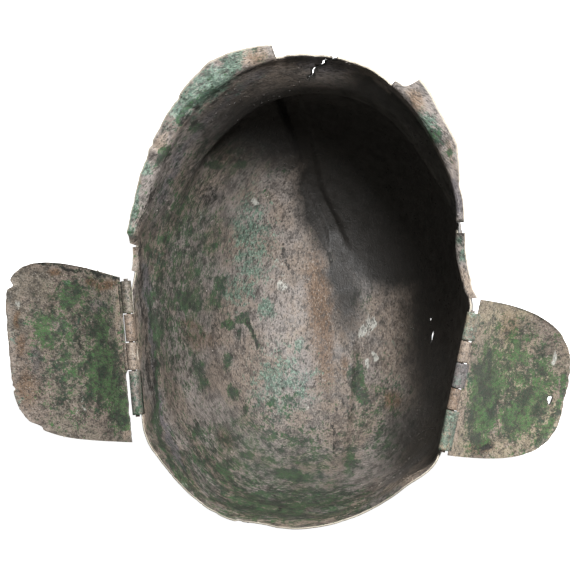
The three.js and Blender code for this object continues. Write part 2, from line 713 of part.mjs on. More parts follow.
const helmet = new THREE.Group();
helmet.name = "chalcidian_helmet";
helmet.add(meshOf(bowlSolid(), "bowl", bronze("bowl_bronze", 0x6f6a55)));
helmet.add(meshOf(leftCheek, "left_cheek_piece", bronze("left_cheek_bronze", 0x6a6350)));
helmet.add(meshOf(rightCheek, "right_cheek_piece", bronze("right_cheek_bronze", 0x8a7d62)));
helmet.add(meshOf(pinSolid(-1, PINS.left), "left_hinge_pin", bronze("left_pin_bronze", 0x7d6a4c)));
helmet.add(meshOf(pinSolid(1, PINS.right), "right_hinge_pin", bronze("right_pin_bronze", 0x7d6a4c)));

export default helmet;
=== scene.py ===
"""Looks of an ancient bronze helmet that lies on its crown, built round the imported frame."""

import math

import bmesh
import bpy
import numpy as np
from mathutils import Matrix, Vector


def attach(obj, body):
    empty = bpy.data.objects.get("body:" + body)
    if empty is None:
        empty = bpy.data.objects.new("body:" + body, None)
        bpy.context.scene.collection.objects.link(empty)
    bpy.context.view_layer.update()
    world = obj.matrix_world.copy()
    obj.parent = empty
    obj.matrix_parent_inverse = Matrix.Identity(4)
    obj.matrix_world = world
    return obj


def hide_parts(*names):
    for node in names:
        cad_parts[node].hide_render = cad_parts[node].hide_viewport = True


bl_info = {
    "name": "Chalcidian helmet",
    "version": (1, 0, 0),
    "blender": (4, 5, 0),
    "location": "View3D > Sidebar > Helmet",
    "description": "Builds the corroded bronze looks of a chalcidian helmet",
    "category": "Add Mesh",
}

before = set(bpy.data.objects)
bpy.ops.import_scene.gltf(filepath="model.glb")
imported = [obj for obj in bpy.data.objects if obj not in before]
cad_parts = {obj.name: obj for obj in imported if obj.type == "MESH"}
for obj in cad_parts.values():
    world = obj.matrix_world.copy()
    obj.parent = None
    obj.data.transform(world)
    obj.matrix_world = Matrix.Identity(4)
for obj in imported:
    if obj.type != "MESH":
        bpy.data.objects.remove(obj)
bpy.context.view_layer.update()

MM = 0.001

# Bowl form in millimetres, the same sizes as the solids have
SHEET = 1.1
HALF_WIDTH = 102.5
FRONT_REACH = 146
BACK_REACH = 136.5
FRONT_POWER = 2.39
BACK_POWER = 2.11
CROWN_POWER = 2.35
RIM_SIDE = 170
RIM_FRONT = 160
RIM_BACK = 182
CROWN_FLAT = 1.8
NECK_PINCH = 0.1
STEP_RISE = 1.8
STEP_FROM = 0.75
STEP_TO = 0.79
BROW_TURN = 2.6
BROW_ARCH = 7

# Median ridge, seen as a groove from inside
RIDGE_RISE = 3.2
RIDGE_HALF = 9
RIDGE_LINE = (
    {"y": 1.0, "x": -0.32},
    {"y": 0.5, "x": -0.21},
    {"y": 0.32, "x": -0.08},
    {"y": 0.05, "x": 0.05},
    {"y": -0.72, "x": 0.125},
    {"y": -1.1, "x": 0.13},
)

# Hinge line at the side rim
HINGE_BACK_X = {-1: 105.5, 1: 104}
HINGE_FRONT_X = {-1: 88.2, 1: 91.3}
HINGE_FADE = {"front_outer": 16, "front_inner": 10, "back_inner": -6, "back_outer": 8}
HINGE_BACK_Y = 0
HINGE_FRONT_Y = -98
HINGE_OVER_RIM = 5.3
HINGE_OUT_OF_WALL = 2.2
KNUCKLE_RADIUS = 3.2
KNUCKLE_GAP = 0.6

# Cheek-piece form
CHEEK_SHEET = 1.1
CHEEK_ROOT = 4.2
CHEEK_SAG_OUT = 4.5
CHEEK_SAG_ALONG = 5
CHEEKS = {
    -1: {
        "start": 3,
        "length": 98.4,
        "reach": 88.9,
        "spread": 0.23,
        "skew": 0.21,
        "back": 3.6,
        "front": 4,
        "droop": 14,
    },
    1: {
        "start": -2,
        "length": 92.5,
        "reach": 86.8,
        "spread": 0.034,
        "skew": 0.022,
        "back": 2.78,
        "front": 3.2,
        "droop": 42,
    },
}
KNUCKLES = {
    -1: {"bowl": ((24, 41), (58, 85)), "cheek": ((4, 24), (41, 58))},
    1: {"bowl": ((23, 36), (51, 64)), "cheek": ((6, 23), (36, 51), (64, 88))},
}
BROKEN_HINGE_EDGE = {"from": 60, "back": 1.2}
STRAP_HOLE = {"along": 49, "reach": 0.885, "width": 3.2, "length": 5.2, "through": 30}

# Neck guard lip
LIP_RISE = 0.28
LIP_BROKEN = 1.4
LEFT_LIP = {
    "earY": 0.13,
    "breakX": -0.228,
    "shares": (0, 0.25, 0.5, 0.75, 1),
    "widths": (4.7, 8.5, 10.3, 14, 7.8),
}
RIGHT_LIP = {
    "earY": 0.335,
    "breakX": 0.46,
    "shares": (0, 0.22, 0.44, 0.67, 0.88, 0.91, 1),
    "widths": (4, 3.7, 11, 11.3, 14.5, 5, 3),
}
EAR_FLANGES = (
    {"side": -1, "from": 2, "to": 16.5, "width": 3.2},
    {"side": 1, "from": 2, "to": 41, "width": 5.1},
)

# Ear cut-outs, one for each side
EARS = {-1: {"y": 0.055, "half": 0.115, "depth": 12}, 1: {"y": 0.15, "half": 0.17, "depth": 15}}

# Dents of the bowl: bearing and spread in degrees, height and band as shares of the rim height
DENTS = (
    {"bearing": 36.6, "spread": 22.4, "height": 0.95, "band": 0.7, "depth": 0.04},
    {"bearing": -66, "spread": 33.4, "height": 1.0, "band": 0.5, "depth": 0.078},
    {"bearing": -97, "spread": 5, "height": 1.0, "band": 0.1, "depth": 0.023},
    {"bearing": 178, "spread": 28, "height": 0.55, "band": 0.35, "depth": 0.02},
    {"bearing": -20, "spread": 20, "height": 0.35, "band": 0.2, "depth": 0.03},
    {"bearing": 10.7, "spread": 10.7, "height": 1.0, "band": 0.35, "depth": 0.09},
    {"bearing": 172, "spread": 8, "height": 1.0, "band": 0.35, "depth": -0.02},
    {"bearing": -137, "spread": 15, "height": 1.0, "band": 0.4, "depth": 0.03},
)

# Holes and cracks of the bowl; the wall holes are wider than in the solids, so that light shows through
CRACK = {"x": 3, "y": 131, "z": 171, "wide": 1.6, "long": 34, "through": 26, "lean": 38}
TEAR = {"x": 90, "y": 43.3, "z": 169, "along": 4.4, "down": 24, "through": 20}
WALL_HOLES = (
    {"x": 66.5, "y": -14, "z": 33, "wide": 2.0, "long": 2.2},
    {"x": 69.2, "y": -25, "z": 38.5, "wide": 2.4, "long": 8},
)
WALL_HOLE_THROUGH = 24
WALL_HOLE_LEAN = 155

# Unevenness of the sheet: height in millimetres, then lump size, seed and octaves of its noise
BEATEN_BOWL = {"height": 1.1, "noise": (34, 21, 2)}
CRUST_INSIDE = {"height": 0.35, "noise": (5, 31, 4)}
CRUST_OUTSIDE = {"height": 0.3, "noise": (6, 41, 4)}
BEATEN_CHEEK = {"height": 0.9, "noise": (24, 91, 2)}
CRUST_CHEEK = {"height": 0.4, "noise": (4, 95, 4)}
EDGE_NIBBLE = {"height": 1.1, "noise": (6, 5, 4)}

# Deeper bites out of the rim: depth in millimetres, and the noise that sets where they are
EDGE_BITE = 0.8
EDGE_BITE_NOISE = (9, 9)
# Length along the wall that counts as one full sweep when the rim is nibbled
NIBBLE_SWEEP = 300

# Steps in degrees and in sweep between the points that give the normal of the wall
NORMAL_TURN = 0.3
NORMAL_SWEEP = 0.004

# Photograph: frame of 570 by 570 pixels, and width of the camera's sensor in millimetres
PHOTO_SIDE = 570
SENSOR = 36
# Places of the lights and the point that they face, in metres
KEY_PLACE = (0.34, 0.435, 1.18)
KEY_SIZE = 0.22
FILL_PLACE = (-1.0, -0.6, 1.3)
FILL_SIZE = 1.2
LIT_POINT = (0, 0, 0.08)


def radians(degrees):
    return degrees * math.pi / 180


def smooth(low, high, value):
    share = np.clip((value - low) / (high - low), 0, 1)
    return share * share * (3 - 2 * share)


def hump(value, centre, half):
    share = np.abs(value - centre) / half
    return np.where(share >= 1, 0, 0.5 + 0.5 * np.cos(math.pi * np.minimum(share, 1)))


def signed_power(value, power):
    return np.sign(value) * np.abs(value) ** power


def turn_between(bearing, centre):
    return (bearing - centre) % 360 - 360 * (((bearing - centre) % 360) > 180)


def lattice(ix, iy, iz, seed):
    """A number from 0 to 1 for each corner of a grid of whole numbers."""
    mixed = ix * 374761393 + iy * 668265263 + iz * 1274126177 + seed * 974634777
    mixed = (mixed ^ (mixed >> 13)) * 1103515245 & 0x7FFFFFFF
    mixed = (mixed ^ (mixed >> 16)) * 69069 & 0x7FFFFFFF
    return (mixed ^ (mixed >> 11)) % 65536 / 65535


def soft_noise(points, size, seed):
    """Smooth noise from 0 to 1 with lumps of one size, at points in millimetres."""
    scaled = np.asarray(points) / size + 1000
    low = np.floor(scaled).astype(np.int64)
    part = scaled - low
    part = part * part * (3 - 2 * part)
    total = 0
    for dx in (0, 1):
        for dy in (0, 1):
            for dz in (0, 1):
                weight = 1
                for axis, step in enumerate((dx, dy, dz)):
                    weight = weight * (part[..., axis] if step else 1 - part[..., axis])
                total = total + weight * lattice(low[..., 0] + dx, low[..., 1] + dy, low[..., 2] + dz, seed)
    return total


def rough_noise(points, size, seed, octaves=4):
    """Noise from 0 to 1 with finer and weaker lumps added."""
    total = 0
    weight = 1
    weights = 0
    for octave in range(octaves):
        total = total + weight * soft_noise(points, size / 2**octave, seed + octave)
        weights += weight
        weight *= 0.55
    return total / weights


def uneven(points, lumps):
    """Height in millimetres above or below the smooth sheet."""
    return lumps["height"] * (rough_noise(points, *lumps["noise"]) - 0.5)


# Bowl surface


def hinge_wall_x(y, side):
    share = (HINGE_BACK_Y - y) / (HINGE_BACK_Y - HINGE_FRONT_Y)
    front = np.where(side < 0, HINGE_FRONT_X[-1], HINGE_FRONT_X[1])
    back = np.where(side < 0, HINGE_BACK_X[-1], HINGE_BACK_X[1])
    axis = back + (front - back) * share
    return axis - HINGE_OUT_OF_WALL + SHEET / 2


def plan_point(bearing):
    """Rim outline from above at a bearing in degrees, 0 toward +X and 90 toward the back."""
    c = np.cos(np.radians(bearing))
    s = np.sin(np.radians(bearing))
    back = s >= 0
    power = np.where(back, BACK_POWER, FRONT_POWER)
    reach = np.where(back, BACK_REACH, FRONT_REACH)
    return HALF_WIDTH * signed_power(c, 2 / power), reach * signed_power(s, 2 / power)


def hinge_weight(y):
    front = smooth(HINGE_FRONT_Y - HINGE_FADE["front_outer"], HINGE_FRONT_Y + HINGE_FADE["front_inner"], y)
    return front * (1 - smooth(HINGE_FADE["back_inner"], HINGE_FADE["back_outer"], y))


def rim_height(x, y):
    front = 1 - smooth(HINGE_FRONT_Y - 34, HINGE_FRONT_Y - 4, y)
    back = smooth(0.2 * BACK_REACH, 0.95 * BACK_REACH, y)
    arches = hump(np.abs(x), 0.48 * HALF_WIDTH, 0.42 * HALF_WIDTH) * front
    return RIM_SIDE + (RIM_FRONT - RIM_SIDE) * front + (RIM_BACK - RIM_SIDE) * back - BROW_ARCH * arches


def ear_cut(x, y):
    cut = 0
    for side, ear in EARS.items():
        away = np.abs(y / BACK_REACH - ear["y"]) / ear["half"]
        depth = ear["depth"] * np.sqrt(np.maximum(0, 1 - away * away))
        cut = cut + np.where(np.sign(x) == side, depth, 0)
    return cut


def rise_of(sweep):
    return 1 - np.cos(sweep * math.pi / 2) ** (2 / CROWN_POWER)


def wall_point(bearing, sweep):
    """Outer face of the plain bowl, sweep 0 at the crown and 1 at the full rim."""
    px, py = plan_point(bearing)
    reach = np.sin(sweep * math.pi / 2) ** (2 / CROWN_POWER)
    rise = rise_of(sweep)
    backness = smooth(0.15, 0.85, py / BACK_REACH)
    reach = reach * (1 - NECK_PINCH * backness * hump(rise, 0.79, 0.2))
    away = np.hypot(px, py)
    near_hinge = hinge_weight(py)
    step = STEP_RISE * smooth(STEP_FROM, STEP_TO, rise)
    brow = 1 - smooth(-0.9 * FRONT_REACH, 0, py)
    turn = BROW_TURN * smooth(0.955, 1, rise) * brow * (1 - near_hinge)
    out = (step + turn - STEP_RISE) / away
    x = px * reach * (1 + out)
    y = py * reach * (1 + out)
    straight = np.sign(px) * (hinge_wall_x(y, px) * reach + step - STEP_RISE)
    x = x + (straight - x) * near_hinge * smooth(0.45, 0.9, rise)
    z = rise * (rim_height(px, py) + CROWN_FLAT) - CROWN_FLAT
    return np.stack([x, y, z + 0 * x], -1)


def ridge_at(point, rise):
    rows = RIDGE_LINE[::-1]
    share = point[..., 1] / BACK_REACH
    middle = HALF_WIDTH * np.interp(share, [row["y"] for row in rows], [row["x"] for row in rows])
    across = hump(point[..., 0], middle, RIDGE_HALF)
    back = 1 - smooth(0.45, 0.75, rise)
    front = 1 - smooth(0.3, 0.6, rise)
    fade = np.where(point[..., 1] > 0, back, 0.6 * front)
    return RIDGE_RISE * np.minimum(1, 1.5 * across) * fade


def dent_at(bearing, rise, plan_y):
    depth = 0
    for dent in DENTS:
        around = turn_between(bearing, dent["bearing"]) / dent["spread"]
        along = (rise - dent["height"]) / dent["band"]
        depth = depth + dent["depth"] * HALF_WIDTH * np.exp(-(around**2 + along**2))
    return depth * smooth(0.02, 0.3, rise) * (1 - hinge_weight(plan_y) * smooth(0.4, 0.8, rise))


def bearing_at_y(y, side):
    power = BACK_POWER if y >= 0 else FRONT_POWER
    reach = BACK_REACH if y >= 0 else FRONT_REACH
    s = math.copysign((abs(y) / reach) ** (power / 2), y)
    bearing = math.degrees(math.asin(s))
    return bearing if side > 0 else 180 - bearing


def bearing_at_x(x):
    return math.degrees(math.acos(math.copysign((abs(x) / HALF_WIDTH) ** (BACK_POWER / 2), x)))


LIP_ENDS = {
    "right_ear": bearing_at_y(RIGHT_LIP["earY"] * BACK_REACH, 1),
    "right_break": bearing_at_x(RIGHT_LIP["breakX"] * HALF_WIDTH),
    "left_break": bearing_at_x(LEFT_LIP["breakX"] * HALF_WIDTH),
    "left_ear": bearing_at_y(LEFT_LIP["earY"] * BACK_REACH, -1),
}


def lip_width(bearing):
    """Width of the neck guard lip in millimetres, 0 where it is broken off."""
    width = np.zeros_like(bearing)
    for lip, ear, gap in (
        (RIGHT_LIP, LIP_ENDS["right_ear"], LIP_ENDS["right_break"]),
        (LEFT_LIP, LIP_ENDS["left_ear"], LIP_ENDS["left_break"]),
    ):
        share = (bearing - ear) / (gap - ear)
        full = np.interp(share, lip["shares"], lip["widths"])
        width = np.where((share > 0) & (share < 1), full, width)
    for flange in EAR_FLANGES:
        ends = sorted(bearing_at_y(flange[end], flange["side"]) for end in ("from", "to"))
        turned = (bearing - ends[0] + 180) % 360 - 180
        inside = (turned > 0) & (turned < ends[1] - ends[0])
        width = np.where(inside, flange["width"], width)
    return width


def ragged_loss(bearing):
    share = (bearing - LIP_ENDS["right_break"]) / (LIP_ENDS["left_break"] - LIP_ENDS["right_break"])
    loss = 2.2 + 1.4 * np.sin(share * 21) + 0.8 * np.sin(share * 47 + 1) + 1.5 * hump(share, 0.1, 0.3)
    return np.where((share > 0) & (share < 1), loss, 0)


def sweep_end(bearing):
    px, py = plan_point(bearing)
    height = rim_height(px, py)
    cut = ear_cut(px, py) + ragged_loss(bearing)
    rise = (height - cut + CROWN_FLAT) / (height + CROWN_FLAT)
    return np.arccos((1 - rise) ** (CROWN_POWER / 2)) / (math.pi / 2)


def wall_normal(bearing, sweep):
    around = wall_point(bearing + NORMAL_TURN, sweep) - wall_point(bearing - NORMAL_TURN, sweep)
    above = wall_point(bearing, np.minimum(1, sweep + NORMAL_SWEEP))
    below = wall_point(bearing, np.maximum(0.001, sweep - NORMAL_SWEEP))
    normal = np.cross(around, above - below)
    return normal / np.linalg.norm(normal, axis=-1, keepdims=True)


# Degrees kept free of columns beside an end of the lip, and from the end to each column of its pair
END_CLEARANCE = 0.5
END_PAIR = 0.12


def bowl_bearings(count):
    """Bearings of the columns, with close pairs where the lip ends."""
    keys = list(LIP_ENDS.values())
    for flange in EAR_FLANGES:
        keys += [bearing_at_y(flange[end], flange["side"]) for end in ("from", "to")]
    keys = np.array(keys)
    even = np.arange(count) * 360 / count - 90
    near = np.abs(turn_between(even[:, None], keys[None, :])).min(1)
    kept = even[near > END_CLEARANCE]
    return np.sort(np.concatenate([kept, keys - END_PAIR, keys + END_PAIR]))


def bowl_grids(columns, wall_rows, lip_rows):
    """Outer and inner points of the corroded bowl, rows from crown to edge."""
    bearing = bowl_bearings(columns)
    end = sweep_end(bearing)
    px, py = plan_point(bearing)
    edge_seed = np.stack([px, py, 0 * px], -1)
    bites = EDGE_BITE * smooth(0.62, 0.75, rough_noise(edge_seed, *EDGE_BITE_NOISE))
    nibble = uneven(edge_seed, EDGE_NIBBLE) + bites
    end = end - np.maximum(0, nibble) / NIBBLE_SWEEP
    share = (np.arange(1, wall_rows + 1) / wall_rows) ** 0.92
    sweep = share[:, None] * end[None, :]
    around = bearing[None, :] + 0 * sweep
    rise = rise_of(sweep)
    base = wall_point(around, sweep)
    normal = wall_normal(around, sweep)
    push = ridge_at(base, rise) - dent_at(around, rise, py[None, :] + 0 * sweep)
    beaten = uneven(base, BEATEN_BOWL) * smooth(0.02, 0.2, rise)
    crust_in = uneven(base, CRUST_INSIDE)
    crust_out = uneven(base, CRUST_OUTSIDE)
    outer = base + normal * (push + beaten + crust_out)[..., None]
    inner = base + normal * (push + beaten + crust_in - SHEET)[..., None]
    outer[..., 2] = np.maximum(outer[..., 2], 0)
    inner[..., 2] = np.maximum(inner[..., 2], SHEET + crust_in)
    width = lip_width(bearing)
    edge = outer[-1]
    lean = np.stack([px / HALF_WIDTH**2, py / BACK_REACH**2, 0 * px], -1)
    lean /= np.linalg.norm(lean, axis=-1, keepdims=True)
    climb = np.where(width > 0, LIP_RISE, 2.0)
    length = np.maximum(width, LIP_BROKEN)
    length = length - np.maximum(0, nibble) * np.where(width > 0, 1.0, 0.6)
    wave = (soft_noise(edge_seed, 22, 61) - 0.5) * np.where(width > 0, 1, 0)
    outer_rows = [outer]
    inner_rows = [inner]
    for row in range(1, lip_rows + 1):
        part = row / lip_rows
        bend = climb * (1.3 - 0.3 * part) + wave * 0.25
        run = lean.copy()
        run[:, 2] = bend
        run /= np.linalg.norm(run, axis=-1, keepdims=True)
        level = np.hypot(run[:, 0], run[:, 1])
        under = np.stack([-run[:, 2] * lean[:, 0], -run[:, 2] * lean[:, 1], level], -1)
        out = edge + run * (length * part)[:, None]
        outer_rows.append(out[None])
        inner_rows.append((out + under * SHEET)[None])
    return np.concatenate(outer_rows), np.concatenate(inner_rows)


def shell_mesh(name, outer, inner):
    """Closed thin shell from two grids of rows by columns that go all the way round, with two poles."""
    rows, columns, _ = outer.shape
    pole = np.array([[0, 0, outer[0, :, 2].mean()], [0, 0, inner[0, :, 2].mean()]])
    points = np.concatenate([pole, outer.reshape(-1, 3), inner.reshape(-1, 3)])
    here = np.arange(columns)
    after = (here + 1) % columns
    first = 2
    second = 2 + rows * columns
    faces = []
    for i, j in zip(here, after):
        faces.append((0, first + j, first + i))
        faces.append((1, second + i, second + j))
    for row in range(rows - 1):
        low = row * columns
        high = low + columns
        for i, j in zip(here, after):
            faces.append((first + low + i, first + low + j, first + high + j, first + high + i))
            faces.append((second + low + i, second + high + i, second + high + j, second + low + j))
    top = (rows - 1) * columns
    for i, j in zip(here, after):
        faces.append((first + top + i, first + top + j, second + top + j, second + top + i))
    mesh = bpy.data.meshes.new(name)
    mesh.from_pydata((points * MM).tolist(), [], [tuple(int(v) for v in face) for face in faces])
    turned_out(mesh)
    return mesh


def turned_out(mesh):
    """Faces point outward: the whole mesh is flipped if its volume comes out negative."""
    mesh.validate()
    mesh.calc_loop_triangles()
    corners = np.empty(len(mesh.loop_triangles) * 3, dtype=np.int32)
    mesh.loop_triangles.foreach_get("vertices", corners)
    points = np.empty(len(mesh.vertices) * 3)
    mesh.vertices.foreach_get("co", points)
    a, b, c = (points.reshape(-1, 3)[corners.reshape(-1, 3)[:, k]] for k in range(3))
    if np.einsum("ij,ij->i", a, np.cross(b, c)).sum() < 0:
        mesh.flip_normals()
    mesh.update()


def added(name, mesh):
    piece = bpy.data.objects.new(name, mesh)
    bpy.context.scene.collection.objects.link(piece)
    return piece


def box_mesh(name, size, place):
    """Box in millimetres, used as a cutter."""
    x, y, z = (s / 2 for s in size)
    corners = [(sx * x, sy * y, sz * z) for sx in (-1, 1) for sy in (-1, 1) for sz in (-1, 1)]
    faces = [(0, 1, 3, 2), (4, 6, 7, 5), (0, 4, 5, 1), (2, 3, 7, 6), (0, 2, 6, 4), (1, 5, 7, 3)]
    mesh = bpy.data.meshes.new(name)
    mesh.from_pydata(corners, [], faces)
    mesh.transform(Matrix.Translation(Vector(place) * MM) @ Matrix.Scale(MM, 4))
    turned_out(mesh)
    return mesh


def ragged_slit(name, cut):
    """Cutter with a wandering outline, for a crack that runs along its own Z axis."""
    steps = 14
    points = []
    for i in range(steps + 1):
        share = i / steps
        wander = 0.9 * math.sin(share * 17) + 0.5 * math.sin(share * 41 + 1)
        half = cut["wide"] / 2 * (0.45 + 0.75 * share) * (1 + 0.25 * math.sin(share * 29))
        z = cut["long"] * (share - 0.5)
        for y in (-cut["through"] / 2, cut["through"] / 2):
            points.append((wander - half, y, z))
            points.append((wander + half, y, z))
    faces = [(0, 2, 3, 1), tuple(4 * steps + k for k in (0, 1, 3, 2))]
    for i in range(steps):
        a = 4 * i
        b = a + 4
        for p, q in ((0, 1), (1, 3), (3, 2), (2, 0)):
            faces.append((a + p, a + q, b + q, b + p))
    mesh = bpy.data.meshes.new(name)
    mesh.from_pydata(points, [], faces)
    turn = Matrix.Rotation(radians(cut["lean"]), 4, "Y")
    place = Vector((cut["x"], cut["y"], cut["z"]))
    mesh.transform(Matrix.Translation(place * MM) @ Matrix.Scale(MM, 4) @ turn)
    turned_out(mesh)
    return mesh


def ragged_rod(name, wide, long, through, matrix):
    """Cutter with an uneven oval section along its own Z axis, long way along Y."""
    sides = 18
    points = []
    for z in (-through / 2, through / 2):
        for i in range(sides):
            turn = 2 * math.pi * i / sides
            uneven = 1 + 0.22 * math.sin(3 * turn + 1) + 0.12 * math.sin(7 * turn)
            points.append((wide / 2 * uneven * math.cos(turn), long / 2 * uneven * math.sin(turn), z))
    faces = [tuple(range(sides))[::-1], tuple(range(sides, 2 * sides))]
    for i in range(sides):
        j = (i + 1) % sides
        faces.append((i, j, sides + j, sides + i))
    mesh = bpy.data.meshes.new(name)
    mesh.from_pydata(points, [], faces)
    mesh.transform(Matrix.Scale(MM, 4))
    mesh.transform(matrix)
    turned_out(mesh)
    return mesh


def cut_from(mesh, cutters, name):
    """Takes the cutter meshes out of a mesh and gives the plain result."""
    piece = added(name, mesh)
    tools = []
    for cutter in cutters:
        tool = added("cutter", cutter)
        tools.append(tool)
        modifier = piece.modifiers.new("cut", "BOOLEAN")
        modifier.operation = "DIFFERENCE"
        modifier.solver = "EXACT"
        modifier.object = tool
    bpy.context.view_layer.update()
    result = bpy.data.meshes.new_from_object(piece.evaluated_get(bpy.context.evaluated_depsgraph_get()))
    piece.modifiers.clear()
    piece.data = result
    result.name = name
    for tool in tools:
        bpy.data.objects.remove(tool)
    if len(result.vertices) < len(mesh.vertices) / 2:
        raise RuntimeError(name + " lost its sheet in the cuts")
    return piece


# Hinges and cheek-pieces


def hinge_frame(side):
    """Back end, and unit vectors along the hinge to the front, outward and up."""
    back = np.array([side * HINGE_BACK_X[side], HINGE_BACK_Y, RIM_SIDE + HINGE_OVER_RIM], float)
    front = np.array([side * HINGE_FRONT_X[side], HINGE_FRONT_Y, RIM_SIDE + HINGE_OVER_RIM], float)
    along = (front - back) / np.linalg.norm(front - back)
    outward = np.array([-along[1] * side, along[0] * side, 0])
    return back, along, outward, np.array([0.0, 0.0, 1.0])


def cheek_frame(side):
    """Hinge frame swung down by the droop."""
    back, along, outward, up = hinge_frame(side)
    droop = radians(CHEEKS[side]["droop"])
    c, s = math.cos(droop), math.sin(droop)
    return back, along, outward * c - up * s, outward * s + up * c


class Tree:
    """Short way to build one Geometry Nodes tree with named inputs."""

    def __init__(self, name, inputs):
        self.tree = bpy.data.node_groups.new(name, "GeometryNodeTree")
        for label, kind in inputs.items():
            self.tree.interface.new_socket(label, in_out="INPUT", socket_type=kind)
        self.tree.interface.new_socket("Geometry", in_out="OUTPUT", socket_type="NodeSocketGeometry")
        self.inputs = self.tree.nodes.new("NodeGroupInput").outputs

    def link(self, source, target):
        if hasattr(source, "is_output"):
            self.tree.links.new(source, target)
        else:
            target.default_value = source

    def add(self, kind, settings=None, **values):
        node = self.tree.nodes.new(kind)
        for label, value in (settings or {}).items():
            setattr(node, label, value)
        for label, value in values.items():
            self.link(value, node.inputs[label.replace("_", " ")])
        return node

    def math(self, operation, a, b=0.0):
        node = self.add("ShaderNodeMath", {"operation": operation})
        self.link(a, node.inputs[0])
        self.link(b, node.inputs[1])
        return node.outputs[0]

    def finish(self, geometry):
        """Ends the tree in plain faces that carry the material."""
        real = self.add("GeometryNodeRealizeInstances", None, Geometry=geometry)
        material = self.inputs["Material"]
        named = self.add("GeometryNodeSetMaterial", None, Geometry=real.outputs[0], Material=material)
        self.tree.links.new(named.outputs[0], self.tree.nodes.new("NodeGroupOutput").inputs[0])
        return self

    def mesh(self, name, values):
        """Plain mesh that the tree gives for these inputs."""
        piece = added(name, bpy.data.meshes.new(name))
        modifier = piece.modifiers.new("nodes", "NODES")
        modifier.node_group = self.tree
        for item in self.tree.interface.items_tree:
            if item.in_out == "INPUT":
                modifier[item.identifier] = values[item.name]
        graph = bpy.context.evaluated_depsgraph_get()
        result = bpy.data.meshes.new_from_object(piece.evaluated_get(graph))
        piece.modifiers.clear()
        bpy.data.objects.remove(piece)
        return result


def knuckle_tree():
    """Strip of sheet rolled round the pin: a grid bent round Z, then given its thickness."""
    t = Tree(
        "rolled_knuckle",
        {
            "Length": "NodeSocketFloat",
            "Bore": "NodeSocketFloat",
            "Thickness": "NodeSocketFloat",
            "Wrap": "NodeSocketFloat",
            "Unevenness": "NodeSocketFloat",
            "Place": "NodeSocketFloat",
            "Material": "NodeSocketMaterial",
        },
    )
    length = t.inputs["Length"]
    grid = t.add("GeometryNodeMeshGrid", None, Size_X=1.0, Size_Y=length, Vertices_X=34, Vertices_Y=16)
    place = t.add("GeometryNodeInputPosition").outputs[0]
    apart = t.add("ShaderNodeSeparateXYZ", None, Vector=place).outputs
    angle = t.math("MULTIPLY", apart["X"], t.inputs["Wrap"])
    shifted = t.add("ShaderNodeVectorMath", {"operation": "ADD"})
    t.link(place, shifted.inputs[0])
    offset = t.add("ShaderNodeCombineXYZ", None, X=t.inputs["Place"], Y=t.inputs["Place"])
    t.link(offset.outputs[0], shifted.inputs[1])
    lumps = t.add("ShaderNodeTexNoise", None, Scale=90.0, Detail=2.0, Vector=shifted.outputs[0]).outputs[0]
    uneven = t.math("MULTIPLY", t.math("SUBTRACT", lumps, 0.5), t.inputs["Unevenness"])
    radius = t.math("ADD", t.inputs["Bore"], t.math("MULTIPLY", uneven, 0.5))
    bent = t.add("ShaderNodeCombineXYZ", None)
    t.link(t.math("MULTIPLY", radius, t.math("COSINE", angle)), bent.inputs[0])
    t.link(t.math("MULTIPLY", radius, t.math("SINE", angle)), bent.inputs[1])
    t.link(apart["Y"], bent.inputs[2])
    rolled = t.add("GeometryNodeSetPosition", None, Geometry=grid.outputs["Mesh"], Position=bent.outputs[0])
    thick = t.math("ADD", t.inputs["Thickness"], uneven)
    strip = rolled.outputs[0]
    outer = t.add("GeometryNodeExtrudeMesh", None, Mesh=strip, Offset_Scale=thick, Individual=False)
    back = t.add("GeometryNodeFlipFaces", None, Mesh=strip)
    both = t.add("GeometryNodeJoinGeometry")
    t.tree.links.new(outer.outputs["Mesh"], both.inputs[0])
    t.tree.links.new(back.outputs[0], both.inputs[0])
    closed = t.add("GeometryNodeMergeByDistance", None, Geometry=both.outputs[0], Distance=1e-6)
    return t.finish(closed.outputs[0])


# Bore radius in millimetres, and the turn of the roll in degrees
KNUCKLE_BORE = 1.75
KNUCKLE_WRAP = 335
KNUCKLE_UNEVENNESS = 0.5
# Angle above the plate of the middle of the roll, on the cheek-piece and on the rim
ROLL_ON_CHEEK = 32
ROLL_ON_RIM = 92

# Neck of a knuckle: half its sheet, how far it stays from the pin, its gap at each end, its top on the rim
TONGUE_HALF = 0.55
TONGUE_RIM_HALF = 0.5
TONGUE_NEAR = 2.2
TONGUE_GAP = 0.2
TONGUE_TOP = 0.4


def rolled_knuckle(tree, material, side, start, end, swung):
    """One tongue rolled round the pin, open by a slit where its end meets the plate."""
    back, along, outward, up = cheek_frame(side) if swung else hinge_frame(side)
    values = {
        "Length": (end - start) * MM,
        "Bore": KNUCKLE_BORE * MM,
        "Thickness": (KNUCKLE_RADIUS - KNUCKLE_BORE - 0.1) * MM,
        "Wrap": radians(KNUCKLE_WRAP),
        "Unevenness": KNUCKLE_UNEVENNESS * MM,
        "Place": start * side * MM,
        "Material": material,
    }
    mesh = tree.mesh("knuckle", values)
    rolled = radians(ROLL_ON_CHEEK if swung else ROLL_ON_RIM)
    middle = Vector(outward) * math.cos(rolled) + Vector(up) * math.sin(rolled)
    third = Vector(along)
    turn = Matrix((middle, third.cross(middle), third)).transposed().to_4x4()
    centre = Vector(back + along * (start + end) / 2) * MM
    mesh.transform(Matrix.Translation(centre) @ turn)
    return mesh


